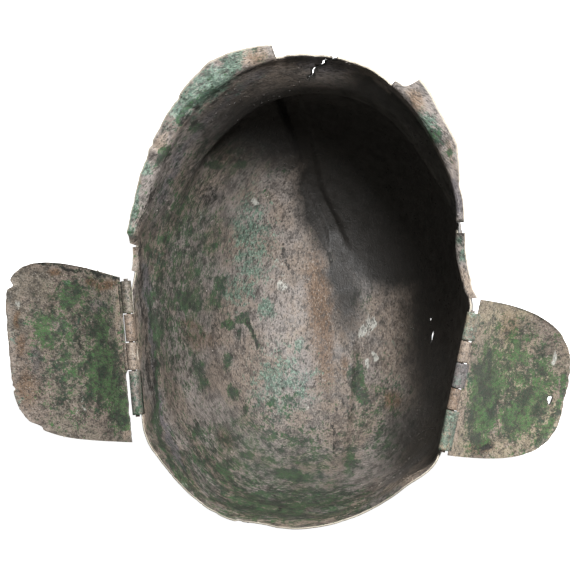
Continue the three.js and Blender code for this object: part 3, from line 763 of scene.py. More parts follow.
def tongue(side, start, end, swung, reach, lower):
    """Flat neck of sheet between a knuckle and its plate or rim."""
    back, along, outward, up = cheek_frame(side) if swung else hinge_frame(side)
    steps = 8
    points = []
    for i in range(steps + 1):
        place = start + TONGUE_GAP + (end - start - 2 * TONGUE_GAP) * i / steps
        if swung:
            near, half = TONGUE_NEAR, TONGUE_HALF
            corners = ((near, -half), (near, half), (reach, half), (reach, -half))
        else:
            inner = -HINGE_OUT_OF_WALL - TONGUE_RIM_HALF
            outer = -HINGE_OUT_OF_WALL + TONGUE_RIM_HALF
            corners = ((inner, -lower), (outer, -lower), (outer, TONGUE_TOP), (inner, TONGUE_TOP))
        for x, z in corners:
            points.append(back + along * place + outward * x + up * z)
    faces = [(0, 1, 2, 3), tuple(4 * steps + k for k in (3, 2, 1, 0))]
    for i in range(steps):
        a = 4 * i
        b = a + 4
        for k in range(4):
            m = (k + 1) % 4
            faces.append((a + k, b + k, b + m, a + m))
    mesh = bpy.data.meshes.new("tongue")
    mesh.from_pydata((np.array(points) * MM).tolist(), [], faces)
    return mesh


def cheek_reach(cheek, share):
    across = 2 * share - 1
    power = np.where(across < 0, cheek["back"], cheek["front"])
    return cheek["reach"] * (1 - np.abs(across) ** power) ** (1 / power)


# Rise of a plate's free edge and how far in from the edge it fades, in millimetres
EDGE_TURN = 0.9
EDGE_TURN_WIDTH = 2.2
# Bites out of the far edge of the left plate, along the hinge as shares of its length
LEFT_NIBBLES = (
    {"along": 0.2, "half": 0.03, "depth": 3.2},
    {"along": 0.74, "half": 0.02, "depth": 1.6},
    {"along": 0.93, "half": 0.025, "depth": 3.5},
)


def cheek_plate(side, columns, rows):
    """Upper and lower points of a cheek-piece plate, hollow side up."""
    cheek = CHEEKS[side]
    back, along, outward, up = cheek_frame(side)
    share = 0.5 + 0.5 * np.sin(np.radians(90 * 0.972 * np.linspace(-1, 1, columns + 1)))
    far = cheek_reach(cheek, share)
    if side < 0:
        for nibble in LEFT_NIBBLES:
            far = far - nibble["depth"] * hump(share, nibble["along"], nibble["half"])
    place = cheek["start"] + cheek["length"] * share
    line = np.stack([place, far, 0 * far], -1)
    far = far - 0.9 * np.maximum(0, rough_noise(line, 5, 71 + side) - 0.45) * 3
    near = CHEEK_ROOT + 0 * place
    if side < 0:
        near = near + BROKEN_HINGE_EDGE["back"] * smooth(58, 61, place)
        near = near + 1.2 * smooth(58, 62, place) * rough_noise(line * [1, 0, 0], 4, 77)
    part = np.linspace(0, 1, rows + 1)
    out = near[:, None] + (far - near)[:, None] * part[None, :]
    across = (2 * share - 1)[:, None]
    level = out / cheek["reach"]
    wide = cheek["spread"] * cheek["length"] * across * level / 2 - cheek["skew"] * out
    sag = CHEEK_SAG_OUT * np.sin(math.pi * level) * smooth(0, 0.3, level)
    sag = sag + CHEEK_SAG_ALONG * (1 - across**2) * smooth(0, 0.5, level)
    base = back + along * (place[:, None] + wide)[..., None] + outward * out[..., None] - up * sag[..., None]
    flat = np.stack([place[:, None] + 0 * out, out, 0 * out + 50 * side], -1)
    beaten = uneven(flat, BEATEN_CHEEK) * smooth(0.05, 0.2, level)
    inset = far[:, None] - out
    turned = EDGE_TURN * np.exp(-((inset / EDGE_TURN_WIDTH) ** 2)) * smooth(0.1, 0.3, level)
    crust = uneven(flat, CRUST_CHEEK)
    lift = beaten + turned
    upper = base + up * (CHEEK_SHEET / 2 + lift + crust)[..., None]
    lower = base + up * (-CHEEK_SHEET / 2 + lift)[..., None]
    return upper, lower


def plate_mesh(name, upper, lower):
    """Closed plate from two grids with free edges all round."""
    columns, rows, _ = upper.shape
    points = np.concatenate([upper.reshape(-1, 3), lower.reshape(-1, 3)])
    size = columns * rows

    def at(column, row, face):
        return column * rows + row + face * size

    faces = []
    for i in range(columns - 1):
        for k in range(rows - 1):
            faces.append((at(i, k, 0), at(i + 1, k, 0), at(i + 1, k + 1, 0), at(i, k + 1, 0)))
            faces.append((at(i, k, 1), at(i, k + 1, 1), at(i + 1, k + 1, 1), at(i + 1, k, 1)))
        faces.append((at(i, 0, 0), at(i, 0, 1), at(i + 1, 0, 1), at(i + 1, 0, 0)))
        last = rows - 1
        faces.append((at(i, last, 0), at(i + 1, last, 0), at(i + 1, last, 1), at(i, last, 1)))
    last = columns - 1
    for k in range(rows - 1):
        faces.append((at(0, k, 0), at(0, k + 1, 0), at(0, k + 1, 1), at(0, k, 1)))
        faces.append((at(last, k, 0), at(last, k, 1), at(last, k + 1, 1), at(last, k + 1, 0)))
    mesh = bpy.data.meshes.new(name)
    mesh.from_pydata((points * MM).tolist(), [], faces)
    turned_out(mesh)
    return mesh


# Stains and painted shade, worked out once for each point of a mesh from where the camera of the photograph
# saw it


def camera_axes(settings):
    """Camera place and its right, up and back vectors, in metres."""
    lean = math.tan(radians(settings.lean))
    direction = Vector((lean, math.tan(radians(settings.lean_back)), 1)).normalized()
    right = Vector((0, 1, 0)).cross(direction).normalized()
    up = direction.cross(right)
    roll = radians(settings.roll)
    turned_right = right * math.cos(roll) + up * math.sin(roll)
    turned_up = up * math.cos(roll) - right * math.sin(roll)
    target = Vector(settings.target)
    return target + direction * settings.distance, turned_right, turned_up, direction


def photo_pixels(points, settings):
    """Pixel of the photograph at which each point in metres is seen."""
    place, right, up, direction = camera_axes(settings)
    away = points - np.array(place)
    depth = -(away @ np.array(direction))
    focal = settings.lens / SENSOR * PHOTO_SIDE
    x = PHOTO_SIDE / 2 + focal * (away @ np.array(right)) / depth
    y = PHOTO_SIDE / 2 - focal * (away @ np.array(up)) / depth
    return x, y


def spot(x, y, wide, tall, lean=0, strength=1.0, soft=1.0):
    """One stain: pixel of its middle, half sizes in pixels, lean in degrees, strength and softness."""
    return {"x": x, "y": y, "wide": wide, "tall": tall, "lean": lean, "strength": strength, "soft": soft}


def streak(wide, strength, *corners):
    """One long stain along a line of pixels, with its half width in pixels."""
    return {"wide": wide, "strength": strength, "corners": corners}


# Stains inside the bowl and on top of its lip, with painted shade in its own rows and in some dark streaks
# along creases
BOWL_STAINS = {
    "green": (
        spot(x=180, y=270, wide=46, tall=140, lean=6, strength=0.56),
        spot(x=250, y=462, wide=120, tall=60, strength=0.56),
        spot(x=290, y=503, wide=110, tall=24, strength=0.74),
        spot(x=380, y=420, wide=40, tall=60, strength=0.45),
        spot(x=230, y=150, wide=60, tall=30, lean=-15, strength=0.5),
        spot(x=185, y=300, wide=9, tall=12, strength=1.4),
        spot(x=198, y=306, wide=6, tall=8, lean=20),
        spot(x=160, y=283, wide=10, tall=18, strength=0.7),
        spot(x=152, y=310, wide=4, tall=20),
        spot(x=158, y=335, wide=5, tall=25),
        spot(x=168, y=243, wide=5, tall=8, strength=0.8),
        spot(x=150, y=250, wide=5, tall=12, strength=0.8),
        spot(x=185, y=225, wide=9, tall=28, lean=5, strength=0.7),
        spot(x=212, y=247, wide=5, tall=7, strength=0.7),
        spot(x=197, y=272, wide=8, tall=7, strength=0.7),
        spot(x=219, y=285, wide=7, tall=10, strength=1.1),
        spot(x=215, y=300, wide=4, tall=10),
        spot(x=240, y=163, wide=7, tall=6),
        spot(x=215, y=165, wide=14, tall=5, lean=10, strength=0.8),
        spot(x=195, y=128, wide=9, tall=6, lean=-35),
        spot(x=197, y=370, wide=9, tall=12, lean=-20, strength=0.8),
        spot(x=205, y=382, wide=8, tall=8, strength=0.8),
        spot(x=228, y=362, wide=5, tall=9),
        spot(x=232, y=393, wide=5, tall=9),
        spot(x=200, y=432, wide=10, tall=10, lean=40, strength=0.8),
        spot(x=222, y=468, wide=9, tall=10, lean=30, strength=0.9),
        spot(x=230, y=478, wide=10, tall=5, lean=20),
        spot(x=245, y=453, wide=14, tall=6, strength=0.9),
        spot(x=255, y=495, wide=14, tall=6),
        spot(x=290, y=475, wide=18, tall=5, lean=12, strength=1.4),
        spot(x=290, y=400, wide=12, tall=14, strength=0.6),
        spot(x=270, y=405, wide=6, tall=8, strength=0.7),
        spot(x=311, y=440, wide=3, tall=4),
        spot(x=245, y=408, wide=4, tall=4),
        spot(x=268, y=435, wide=12, tall=4, strength=0.8),
        spot(x=155, y=415, wide=5, tall=20),
        spot(x=360, y=385, wide=8, tall=30, lean=-8, strength=0.9),
        spot(x=350, y=460, wide=8, tall=20, strength=0.8),
        spot(x=385, y=440, wide=18, tall=30, strength=0.6),
        spot(x=241, y=317, wide=6, tall=5, strength=1.4),
        spot(x=228, y=325, wide=5, tall=5, strength=1.4),
        spot(x=237, y=334, wide=3, tall=5, strength=1.2),
        spot(x=163, y=155, wide=6, tall=9, lean=25, strength=1.2),
        spot(x=436, y=135, wide=7, tall=13, lean=-25),
        spot(x=450, y=150, wide=4, tall=12, lean=-15, strength=0.7),
        streak(2.2, 1.1, (246, 321), (252, 333), (258, 346)),
        streak(3, 1.0, (152, 300), (156, 337), (158, 370), (157, 405), (160, 440), (172, 468), (190, 488)),
        streak(3, 0.9, (190, 488), (215, 503), (262, 510), (300, 510)),
        streak(3, 1.0, (178, 122), (190, 108), (212, 88)),
    ),
    "teal": (
        spot(x=250, y=245, wide=26, tall=60, strength=0.62),
        spot(x=235, y=290, wide=24, tall=20, strength=0.66),
        spot(x=282, y=385, wide=34, tall=44, strength=0.62),
        spot(x=265, y=308, wide=9, tall=9, strength=0.9),
        spot(x=270, y=375, wide=12, tall=14, strength=0.8),
        spot(x=300, y=345, wide=6, tall=8, strength=0.8),
        spot(x=300, y=395, wide=8, tall=10, strength=0.7),
        spot(x=208, y=86, wide=52, tall=13, lean=-42, strength=1.25),
        spot(x=144, y=168, wide=8, tall=9, strength=1.2),
        spot(x=134, y=212, wide=6, tall=32, lean=12, strength=0.9),
        spot(x=430, y=128, wide=10, tall=18, lean=-28, strength=0.9),
        spot(x=460, y=240, wide=6, tall=6, strength=0.9),
        spot(x=463, y=256, wide=6, tall=7, strength=0.8),
    ),
    "rust": (
        spot(x=321, y=322, wide=14, tall=70, lean=-4, strength=1.1),
        spot(x=200, y=340, wide=20, tall=14, lean=15, strength=0.7),
        spot(x=190, y=325, wide=14, tall=6, lean=20, strength=0.8),
        spot(x=345, y=365, wide=6, tall=12, strength=0.9),
        spot(x=393, y=400, wide=10, tall=10),
        spot(x=222, y=150, wide=14, tall=14, strength=0.6),
        spot(x=225, y=440, wide=10, tall=14, strength=0.6),
        spot(x=255, y=57, wide=12, tall=5, lean=-15, strength=0.75),
        spot(x=138, y=185, wide=5, tall=6, strength=1.1),
        spot(x=416, y=102, wide=8, tall=14, lean=-35, strength=0.7),
        spot(x=451, y=150, wide=4, tall=14, lean=-15, strength=0.8),
    ),
    "dark": (
        spot(x=210, y=195, wide=16, tall=12, strength=0.6),
        spot(x=216, y=340, wide=5, tall=30, strength=0.55),
        spot(x=240, y=405, wide=5, tall=16, lean=-20, strength=0.55),
        spot(x=240, y=447, wide=8, tall=4, lean=45, strength=0.6),
        spot(x=155, y=372, wide=4, tall=18, strength=0.7),
        spot(x=334, y=435, wide=3, tall=18, strength=0.7),
        spot(x=341, y=403, wide=2, tall=2, strength=1.3),
        spot(x=335, y=408, wide=2, tall=2, strength=1.3),
        spot(x=275, y=497, wide=2, tall=2, strength=1.3),
        spot(x=280, y=508, wide=2, tall=2, strength=1.3),
        streak(1.6, 0.8, (246, 321), (252, 333), (258, 346)),
        streak(1.3, 1.1, (283, 245), (286, 258), (291, 275)),
        # Painted shade: these two streaks darken the two edges of the crown groove
        streak(1.8, 0.9, (303, 180), (308, 206), (313, 226), (322, 242), (330, 258), (337, 285)),
        streak(1.6, 0.8, (322, 195), (351, 225), (358, 250), (359, 277)),
        # Painted shade in the crease between the left neck guard lip and the wall
        streak(1.6, 0.9, (181, 124), (205, 100), (232, 78), (262, 63)),
        # Painted shade along the inner crease of the left wall, below the rim
        streak(1.6, 0.7, (139, 230), (147, 205), (160, 178), (172, 150)),
        streak(1.4, 0.6, (178, 190), (186, 176), (198, 160)),
        # Painted shade along the same crease, lower on the left wall
        streak(1.8, 0.8, (141, 245), (143, 303), (147, 352), (152, 400)),
    ),
    "pale": (
        spot(x=255, y=201, wide=3, tall=3, strength=1.3),
        spot(x=280, y=275, wide=10, tall=25, strength=0.55),
        spot(x=283, y=285, wide=4, tall=6),
        spot(x=270, y=355, wide=3, tall=3),
        spot(x=308, y=405, wide=3, tall=3),
        spot(x=363, y=331, wide=4, tall=9, strength=1.7, soft=0.5),
        spot(x=373, y=324, wide=3, tall=12, strength=1.7, soft=0.5),
        spot(x=376, y=355, wide=3, tall=8, strength=1.7, soft=0.5),
        spot(x=362, y=296, wide=3, tall=5, strength=1.6, soft=0.5),
        spot(x=368, y=364, wide=3, tall=7, strength=1.6, soft=0.5),
        spot(x=368, y=325, wide=4, tall=14),
        spot(x=375, y=355, wide=2, tall=8, strength=0.9),
        spot(x=362, y=330, wide=5, tall=5, strength=0.8),
        spot(x=300, y=82, wide=8, tall=2, strength=0.8),
        spot(x=172, y=116, wide=10, tall=7, lean=-48, strength=0.7),
        streak(1.0, 0.7, (198, 190), (202, 205), (197, 225), (196, 240)),
    ),
    "beige": (
        spot(x=253, y=57, wide=18, tall=9, lean=-15, strength=1.1),
        spot(x=160, y=142, wide=6, tall=14, lean=28, strength=1.0),
        spot(x=418, y=103, wide=9, tall=18, lean=-35, strength=1.0),
        spot(x=295, y=330, wide=22, tall=50, strength=0.5),
        spot(x=133, y=255, wide=4, tall=12, strength=1.0),
        streak(2.5, 0.9, (137, 300), (139, 380), (143, 440)),
        spot(x=467, y=283, wide=6, tall=18, lean=-12, strength=1.0),
        # Partly beige bloom, partly a painted highlight: these two streaks lighten the turned front rim
        # where the light catches it
        streak(3.5, 0.95, (180, 478), (205, 497), (235, 513), (265, 519), (300, 522)),
        streak(3.5, 0.95, (300, 522), (340, 515), (378, 497), (412, 475), (436, 455)),
    ),
    "lilac": (
        streak(3.0, 1.2, (146, 265), (148, 303), (152, 350), (157, 387), (165, 420), (170, 437), (183, 470)),
        streak(5, 0.8, (160, 200), (178, 160), (205, 120), (240, 88), (262, 76)),
        spot(x=457, y=197, wide=6, tall=24, lean=-8, strength=1.0),
        spot(x=300, y=370, wide=20, tall=50, strength=0.5),
        spot(x=320, y=65, wide=45, tall=9, lean=8, strength=0.8),
    ),
    # Painted shade: these spots darken the upper right inside of the bowl, its right and back walls and the
    # crown right of the groove, which lie in the bowl's own shadow from the key light
    "painted_shade_and_tarnish": (
        spot(x=397, y=178, wide=196, tall=222, soft=0.14),
        spot(x=450, y=320, wide=60, tall=175, soft=0.7),
        spot(x=310, y=128, wide=130, tall=50, lean=4),
        spot(x=425, y=440, wide=40, tall=60, strength=0.75),
        spot(x=345, y=285, wide=20, tall=50, lean=-8, strength=0.9),
        spot(x=352, y=330, wide=56, tall=88, strength=0.3, soft=0.8),
    ),
}

# Stains on top of the left cheek-piece
LEFT_CHEEK_STAINS = {
    "green": (
        spot(x=46, y=330, wide=12, tall=24, lean=-25, strength=0.85),
        spot(x=69, y=295, wide=13, tall=18, strength=0.9),
        spot(x=102, y=335, wide=8, tall=22),
        spot(x=103, y=375, wide=20, tall=36, strength=1.1),
        spot(x=120, y=405, wide=12, tall=30),
        spot(x=80, y=350, wide=46, tall=85, strength=0.58),
        spot(x=60, y=375, wide=5, tall=25, strength=0.7),
        spot(x=86, y=365, wide=10, tall=20, strength=0.65),
        streak(2.2, 0.7, (38, 264), (80, 269), (121, 279)),
    ),
    "teal": (
        spot(x=66, y=283, wide=4, tall=4, strength=0.9),
        spot(x=77, y=325, wide=5, tall=8, strength=0.8),
    ),
    "rust": (
        spot(x=52, y=274, wide=8, tall=4),
        spot(x=93, y=282, wide=6, tall=5),
        spot(x=105, y=285, wide=10, tall=6),
        spot(x=22, y=345, wide=6, tall=10, strength=0.8),
        spot(x=25, y=385, wide=14, tall=22, strength=0.7),
        spot(x=18, y=318, wide=3, tall=12, strength=0.9),
    ),
    "dark": (
        streak(2.4, 0.75, (38, 264), (80, 269), (121, 279)),
        spot(x=80, y=345, wide=10, tall=8, strength=0.5),
    ),
    "pale": (
        spot(x=17, y=303, wide=3, tall=3),
        streak(0.8, 0.8, (78, 398), (80, 408), (79, 418)),
        streak(0.8, 0.8, (85, 400), (86, 412)),
    ),
    "beige": (
        spot(x=128, y=432, wide=4, tall=8, strength=1.1),
        streak(3.5, 0.9, (118, 290), (119, 330), (121, 372)),
    ),
    "lilac": (
        spot(x=95, y=305, wide=14, tall=8, strength=0.7),
        spot(x=60, y=325, wide=10, tall=12, strength=0.6),
        spot(x=35, y=360, wide=8, tall=20, strength=0.6),
    ),
    "painted_shade_and_tarnish": (),
}

# Stains on top of the right cheek-piece
RIGHT_CHEEK_STAINS = {
    "green": (
        spot(x=484, y=395, wide=17, tall=58, lean=8, strength=1.1),
        spot(x=516, y=355, wide=8, tall=18, lean=15, strength=1.1),
        spot(x=526, y=408, wide=40, tall=18, lean=-52, strength=1.2),
        spot(x=515, y=385, wide=52, tall=72, strength=0.68),
        spot(x=543, y=390, wide=6, tall=9),
        spot(x=545, y=367, wide=14, tall=14, strength=0.8),
        spot(x=499, y=328, wide=4, tall=9, strength=0.6),
        spot(x=511, y=324, wide=7, tall=6, strength=0.6),
        streak(4, 0.9, (562, 378), (560, 400), (550, 425), (535, 445)),
    ),
    "teal": (spot(x=470, y=380, wide=4, tall=12, strength=0.7),),
    "rust": (
        spot(x=510, y=328, wide=12, tall=18, strength=0.7),
        spot(x=480, y=447, wide=12, tall=7, strength=0.9),
    ),
    "dark": (spot(x=486, y=448, wide=5, tall=3, strength=0.8),),
    "pale": (spot(x=557, y=358, wide=3, tall=9, strength=1.1),),
    "beige": (
        streak(5, 0.9, (497, 425), (502, 395), (515, 372), (530, 350), (540, 340)),
        streak(4, 0.9, (505, 445), (530, 425), (555, 395)),
        streak(3, 0.9, (472, 310), (469, 350), (465, 390), (456, 440)),
    ),
    "lilac": (),
    "painted_shade_and_tarnish": (),
}

# Stains by chance on the faces that the photograph doesn't show
CHANCE = {
    "green": {"size": 20, "seed": 101, "low": 0.52, "high": 0.8, "strength": 0.9},
    "teal": {"size": 22, "seed": 111, "low": 0.52, "high": 0.76, "strength": 0.8},
    "rust": {"size": 26, "seed": 121, "low": 0.55, "high": 0.72, "strength": 0.7},
    "dark": {"size": 18, "seed": 131, "low": 0.6, "high": 0.75, "strength": 0.6},
    "pale": {"size": 14, "seed": 141, "low": 0.64, "high": 0.76, "strength": 0.7},
    "beige": {"size": 34, "seed": 151, "low": 0.54, "high": 0.7, "strength": 0.7},
    "lilac": {"size": 44, "seed": 161, "low": 0.5, "high": 0.68, "strength": 0.6},
    # On unseen faces these are random dark tarnish patches; inside the bowl the same marks carry painted
    # shade
    "painted_shade_and_tarnish": {"size": 60, "seed": 171, "low": 0.5, "high": 0.75, "strength": 0.3},
}
# Share of chance stains that is left where the photograph shows the surface
SEEN_CHANCE = 0.45
# A stain is full out to the first share of its size and gone at the second
STAIN_FULL = 0.45
STAIN_GONE = 1.5
# How far the outline of a stain wanders, in pixels, and the size of its lobes in millimetres
STAIN_WANDER = 15
STAIN_LOBES = 11


def line_distance(x, y, corners):
    """Distance in pixels from the nearest stretch of a line."""
    nearest = np.full_like(x, np.inf)
    for (ax, ay), (bx, by) in zip(corners, corners[1:]):
        length = (bx - ax) ** 2 + (by - ay) ** 2
        along = np.clip(((x - ax) * (bx - ax) + (y - ay) * (by - ay)) / length, 0, 1)
        nearest = np.minimum(nearest, np.hypot(x - ax - along * (bx - ax), y - ay - along * (by - ay)))
    return nearest


def stain(x, y, rows):
    """Strength of a set of stains at pixels x, y."""
    total = np.zeros_like(x)
    for row in rows:
        if "corners" in row:
            away = line_distance(x, y, row["corners"]) / row["wide"]
        else:
            lean = radians(row["lean"])
            dx = (x - row["x"]) * math.cos(lean) + (y - row["y"]) * math.sin(lean)
            dy = -(x - row["x"]) * math.sin(lean) + (y - row["y"]) * math.cos(lean)
            away = np.hypot(dx / row["wide"], dy / row["tall"])
        soft = row.get("soft", 1)
        gone = STAIN_FULL + (STAIN_GONE - STAIN_FULL) * soft
        total = np.maximum(total, row["strength"] * np.clip((gone - away) / (gone - STAIN_FULL), 0, 1))
    return total


def all_marks(points, seen, table, stage):
    """Every kind of stain and the painted shade at points in millimetres, from the photograph where seen is
    1.
    """
    x, y = photo_pixels(points * MM, stage)
    x = x + STAIN_WANDER * (rough_noise(points, STAIN_LOBES, 191) - 0.5)
    y = y + STAIN_WANDER * (rough_noise(points, STAIN_LOBES, 201) - 0.5)
    marks = {}
    for kind, rows in table.items():
        luck = CHANCE[kind]
        noise = rough_noise(points, luck["size"], luck["seed"])
        chance = luck["strength"] * smooth(luck["low"], luck["high"], noise)
        # The painted shade and tarnish take no chance marks where the surface is seen
        photo = np.maximum(stain(x, y, rows), SEEN_CHANCE * chance * (kind != "painted_shade_and_tarnish"))
        marks[kind] = chance + (photo - chance) * seen
    return marks


def set_marks(mesh, marks, edge, grain):
    """Writes the stains, the painted shade, the worn edge and the direction of the grain on a mesh."""
    set_colours(mesh, "stains", marks["green"], marks["teal"], marks["rust"])
    set_colours(mesh, "wear", marks["dark"], marks["pale"], edge)
    # Bloom holds beige and lilac bloom in red and green, and the painted shade and tarnish in blue
    set_colours(mesh, "bloom", marks["beige"], marks["lilac"], marks["painted_shade_and_tarnish"])
    layer = mesh.attributes.new("grain", "FLOAT_VECTOR", "POINT")
    layer.data.foreach_set("vector", grain.astype(np.float32).ravel())


def set_colours(mesh, name, red, green, blue):
    layer = mesh.color_attributes.new(name, "FLOAT_COLOR", "POINT")
    values = np.stack([red, green, blue, np.ones_like(red)], -1).astype(np.float32)
    layer.data.foreach_set("color", values.ravel())


def mesh_points(mesh):
    points = np.empty(len(mesh.vertices) * 3)
    mesh.vertices.foreach_get("co", points)
    return points.reshape(-1, 3)


# Materials


class Nodes:
    """Short way to add and join shader nodes of one material."""

    def __init__(self, name):
        self.material = bpy.data.materials.new(name)
        self.material.use_nodes = True
        self.tree = self.material.node_tree
        self.tree.nodes.clear()
        self.output = self.tree.nodes.new("ShaderNodeOutputMaterial")
        self.shader = self.tree.nodes.new("ShaderNodeBsdfPrincipled")
        self.tree.links.new(self.shader.outputs[0], self.output.inputs["Surface"])
        self.place = self.tree.nodes.new("ShaderNodeTexCoord").outputs["Object"]

    def link(self, source, target):
        if hasattr(source, "is_output"):
            self.tree.links.new(source, target)
        else:
            target.default_value = source

    def vector(self, name):
        """Position-like attribute of the mesh."""
        node = self.tree.nodes.new("ShaderNodeAttribute")
        node.attribute_name = name
        return node.outputs["Vector"]

    def noise(self, scale, detail, rough, place=None):
        node = self.tree.nodes.new("ShaderNodeTexNoise")
        node.inputs["Scale"].default_value = scale
        node.inputs["Detail"].default_value = detail
        node.inputs["Roughness"].default_value = rough
        self.tree.links.new(place or self.place, node.inputs["Vector"])
        return node.outputs["Fac"]

    def ramp(self, value, low, high, to_low=0.0, to_high=1.0):
        node = self.tree.nodes.new("ShaderNodeMapRange")
        node.interpolation_type = "SMOOTHSTEP"
        self.link(value, node.inputs["Value"])
        for name, number in (("From Min", low), ("From Max", high), ("To Min", to_low), ("To Max", to_high)):
            node.inputs[name].default_value = number
        return node.outputs["Result"]

    def math(self, kind, a, b):
        node = self.tree.nodes.new("ShaderNodeMath")
        node.operation = kind
        self.link(a, node.inputs[0])
        self.link(b, node.inputs[1])
        return node.outputs[0]

    def mix(self, share, a, b, blend="MIX"):
        node = self.tree.nodes.new("ShaderNodeMix")
        node.data_type = "RGBA"
        node.blend_type = blend
        self.link(share, node.inputs["Factor"])
        self.link(a, node.inputs["A"])
        self.link(b, node.inputs["B"])
        return node.outputs["Result"]

    def marks(self, name):
        """Red, green and blue of a colour attribute."""
        node = self.tree.nodes.new("ShaderNodeAttribute")
        node.attribute_name = name
        split = self.tree.nodes.new("ShaderNodeSeparateColor")
        self.tree.links.new(node.outputs["Color"], split.inputs[0])
        return split.outputs[0], split.outputs[1], split.outputs[2]

    def bump(self, height, distance, strength, below=None):
        node = self.tree.nodes.new("ShaderNodeBump")
        node.inputs["Distance"].default_value = distance
        node.inputs["Strength"].default_value = strength
        self.tree.links.new(height, node.inputs["Height"])
        if below is not None:
            self.tree.links.new(below, node.inputs["Normal"])
        return node.outputs["Normal"]


def colour(values):
    return (*values, 1.0)


# Noises of the patina: lumps per metre, octaves and roughness
BROAD = (30, 4, 0.6)
MIDDLE = (120, 6, 0.66)
FINE = (560, 5, 0.7)
STREAKS = (380, 5, 0.7)
SPECKS = (1150, 2, 0.7)
TINY = (2000, 2, 0.6)
RAGGED = (150, 8, 0.75)
RAGGED_FINE = (620, 5, 0.75)
RAGGED_SHARE = 2.4

# For each stain: strength at which it starts and is full, its cover, and how ragged its outline is
SPREADS = {
    "lilac": (0.3, 0.9, 0.8, 0.5),
    "beige": (0.3, 0.9, 0.85, 0.5),
    "rust": (0.1, 1.1, 0.8, 0.4),
    "teal": (0.38, 0.72, 0.8, 1.0),
    "green": (0.4, 0.62, 0.95, 1.0),
    "pale": (0.6, 1.1, 0.85, 1.0),
    "dark": (0.35, 0.8, 0.9, 1.0),
}

# Height in metres and strength of each layer of relief
STREAK_RELIEF = (0.0007, 0.6)
SPECK_RELIEF = (0.0004, 0.8)
PIT_RELIEF = (0.0004, 0.8)
TINY_RELIEF = (0.0001, 0.5)

# Cover of the pits, and how far roughness goes below and above its mean and rises on the green
PIT_COVER = 0.8
SMOOTHER = 0.1
ROUGHER = 0.12
GREEN_ROUGHER = 0.15


def patina(name, tones, ground_tone, green_tone, follows=True):
    """Corroded bronze sheet: mottled, speckled ground with green, teal, rust, dark and pale stains, and
    painted shade.
    """
    m = Nodes(name)
    green, teal, rust = m.marks("stains")
    dark, pale, wear = m.marks("wear")
    # The blue channel of bloom is the painted shade and tarnish
    beige, lilac, painted_shade_and_tarnish = m.marks("bloom")
    grain = m.vector("grain") if follows else m.place
    broad = m.noise(*BROAD)
    middle = m.noise(*MIDDLE)
    fine = m.noise(*FINE)
    streaks = m.noise(*STREAKS, grain)
    specks = m.noise(*SPECKS, grain)
    tiny = m.noise(*TINY)
    ground = m.mix(m.ramp(broad, 0.4, 0.6), colour(ground_tone), colour(tones.ground_warm))
    ground = m.mix(m.ramp(streaks, 0.52, 0.66, 0, 0.3), ground, colour(tones.beige))
    ground = m.mix(m.ramp(middle, 0.36, 0.54, 0.58, 0), ground, colour(tones.grain_dark))
    ragged = m.math("MULTIPLY", m.math("SUBTRACT", m.noise(*RAGGED), 0.5), RAGGED_SHARE)
    ragged_fine = m.math("MULTIPLY", m.math("SUBTRACT", m.noise(*RAGGED_FINE, grain), 0.5), RAGGED_SHARE)
    both = m.math("ADD", ragged, ragged_fine)

    def spread(mark, kind):
        """Cover of one kind of stain, with its outline broken up where there is any of it."""
        low, high, cover, ragged_share = SPREADS[kind]
        share = m.math("MULTIPLY", m.ramp(mark, 0, 0.15), ragged_share)
        return m.ramp(m.math("ADD", mark, m.math("MULTIPLY", both, share)), low, high, 0, cover)

    ground = m.mix(spread(lilac, "lilac"), ground, colour(tones.lilac))
    ground = m.mix(spread(beige, "beige"), ground, colour(tones.beige))
    ground = m.mix(spread(rust, "rust"), ground, colour(tones.rust))
    teals = m.mix(m.ramp(fine, 0.46, 0.62), colour(tones.teal_dark), colour(tones.teal))
    ground = m.mix(spread(teal, "teal"), ground, teals)
    greens = m.mix(m.ramp(middle, 0.42, 0.6), colour(tones.green_dark), colour(green_tone))
    through = m.ramp(specks, 0.4, 0.52, 0.5, 1)
    green_share = m.math("MULTIPLY", spread(green, "green"), through)
    ground = m.mix(green_share, ground, greens)
    ground = m.mix(spread(pale, "pale"), ground, colour(tones.pale))
    ground = m.mix(spread(dark, "dark"), ground, colour(tones.dark))
    ground = m.mix(m.ramp(streaks, 0.37, 0.51, 0.7, 0), ground, colour(tones.grain_dark))
    ground = m.mix(m.ramp(specks, 0.35, 0.46, 0.9, 0), ground, colour(tones.grain_dark))
    light = m.math("MULTIPLY", m.ramp(specks, 0.58, 0.68, 0, 0.6), m.ramp(green_share, 0, 1, 1, 0.2))
    ground = m.mix(light, ground, colour(tones.grain_light))
    pit_share = m.math("MULTIPLY", m.ramp(fine, 0.3, 0.38, 1, 0), m.ramp(middle, 0.42, 0.55))
    ground = m.mix(m.math("MULTIPLY", pit_share, PIT_COVER), ground, colour(tones.dark))
    ground = m.mix(m.ramp(wear, 0.3, 0.9, 0, 0.85), ground, colour(tones.edge))
    # Painted shade: darkens the shaded inside of the bowl nearly to black, and lays random tarnish on unseen
    # faces
    ground = m.mix(m.ramp(painted_shade_and_tarnish, 0.0, 1.0, 0, 0.97), ground, colour(tones.dark))
    m.tree.links.new(ground, m.shader.inputs["Base Color"])
    m.shader.inputs["Metallic"].default_value = tones.metallic
    rough = m.ramp(middle, 0.35, 0.7, tones.roughness - SMOOTHER, tones.roughness + ROUGHER)
    rough = m.math("ADD", rough, m.math("MULTIPLY", green_share, GREEN_ROUGHER))
    m.tree.links.new(rough, m.shader.inputs["Roughness"])
    relief = m.bump(streaks, *STREAK_RELIEF)
    relief = m.bump(specks, *SPECK_RELIEF, relief)
    relief = m.bump(m.math("SUBTRACT", 1.0, pit_share), *PIT_RELIEF, relief)
    m.tree.links.new(m.bump(tiny, *TINY_RELIEF, relief), m.shader.inputs["Normal"])
    return m.material


FLOOR_ROUGHNESS = 0.85


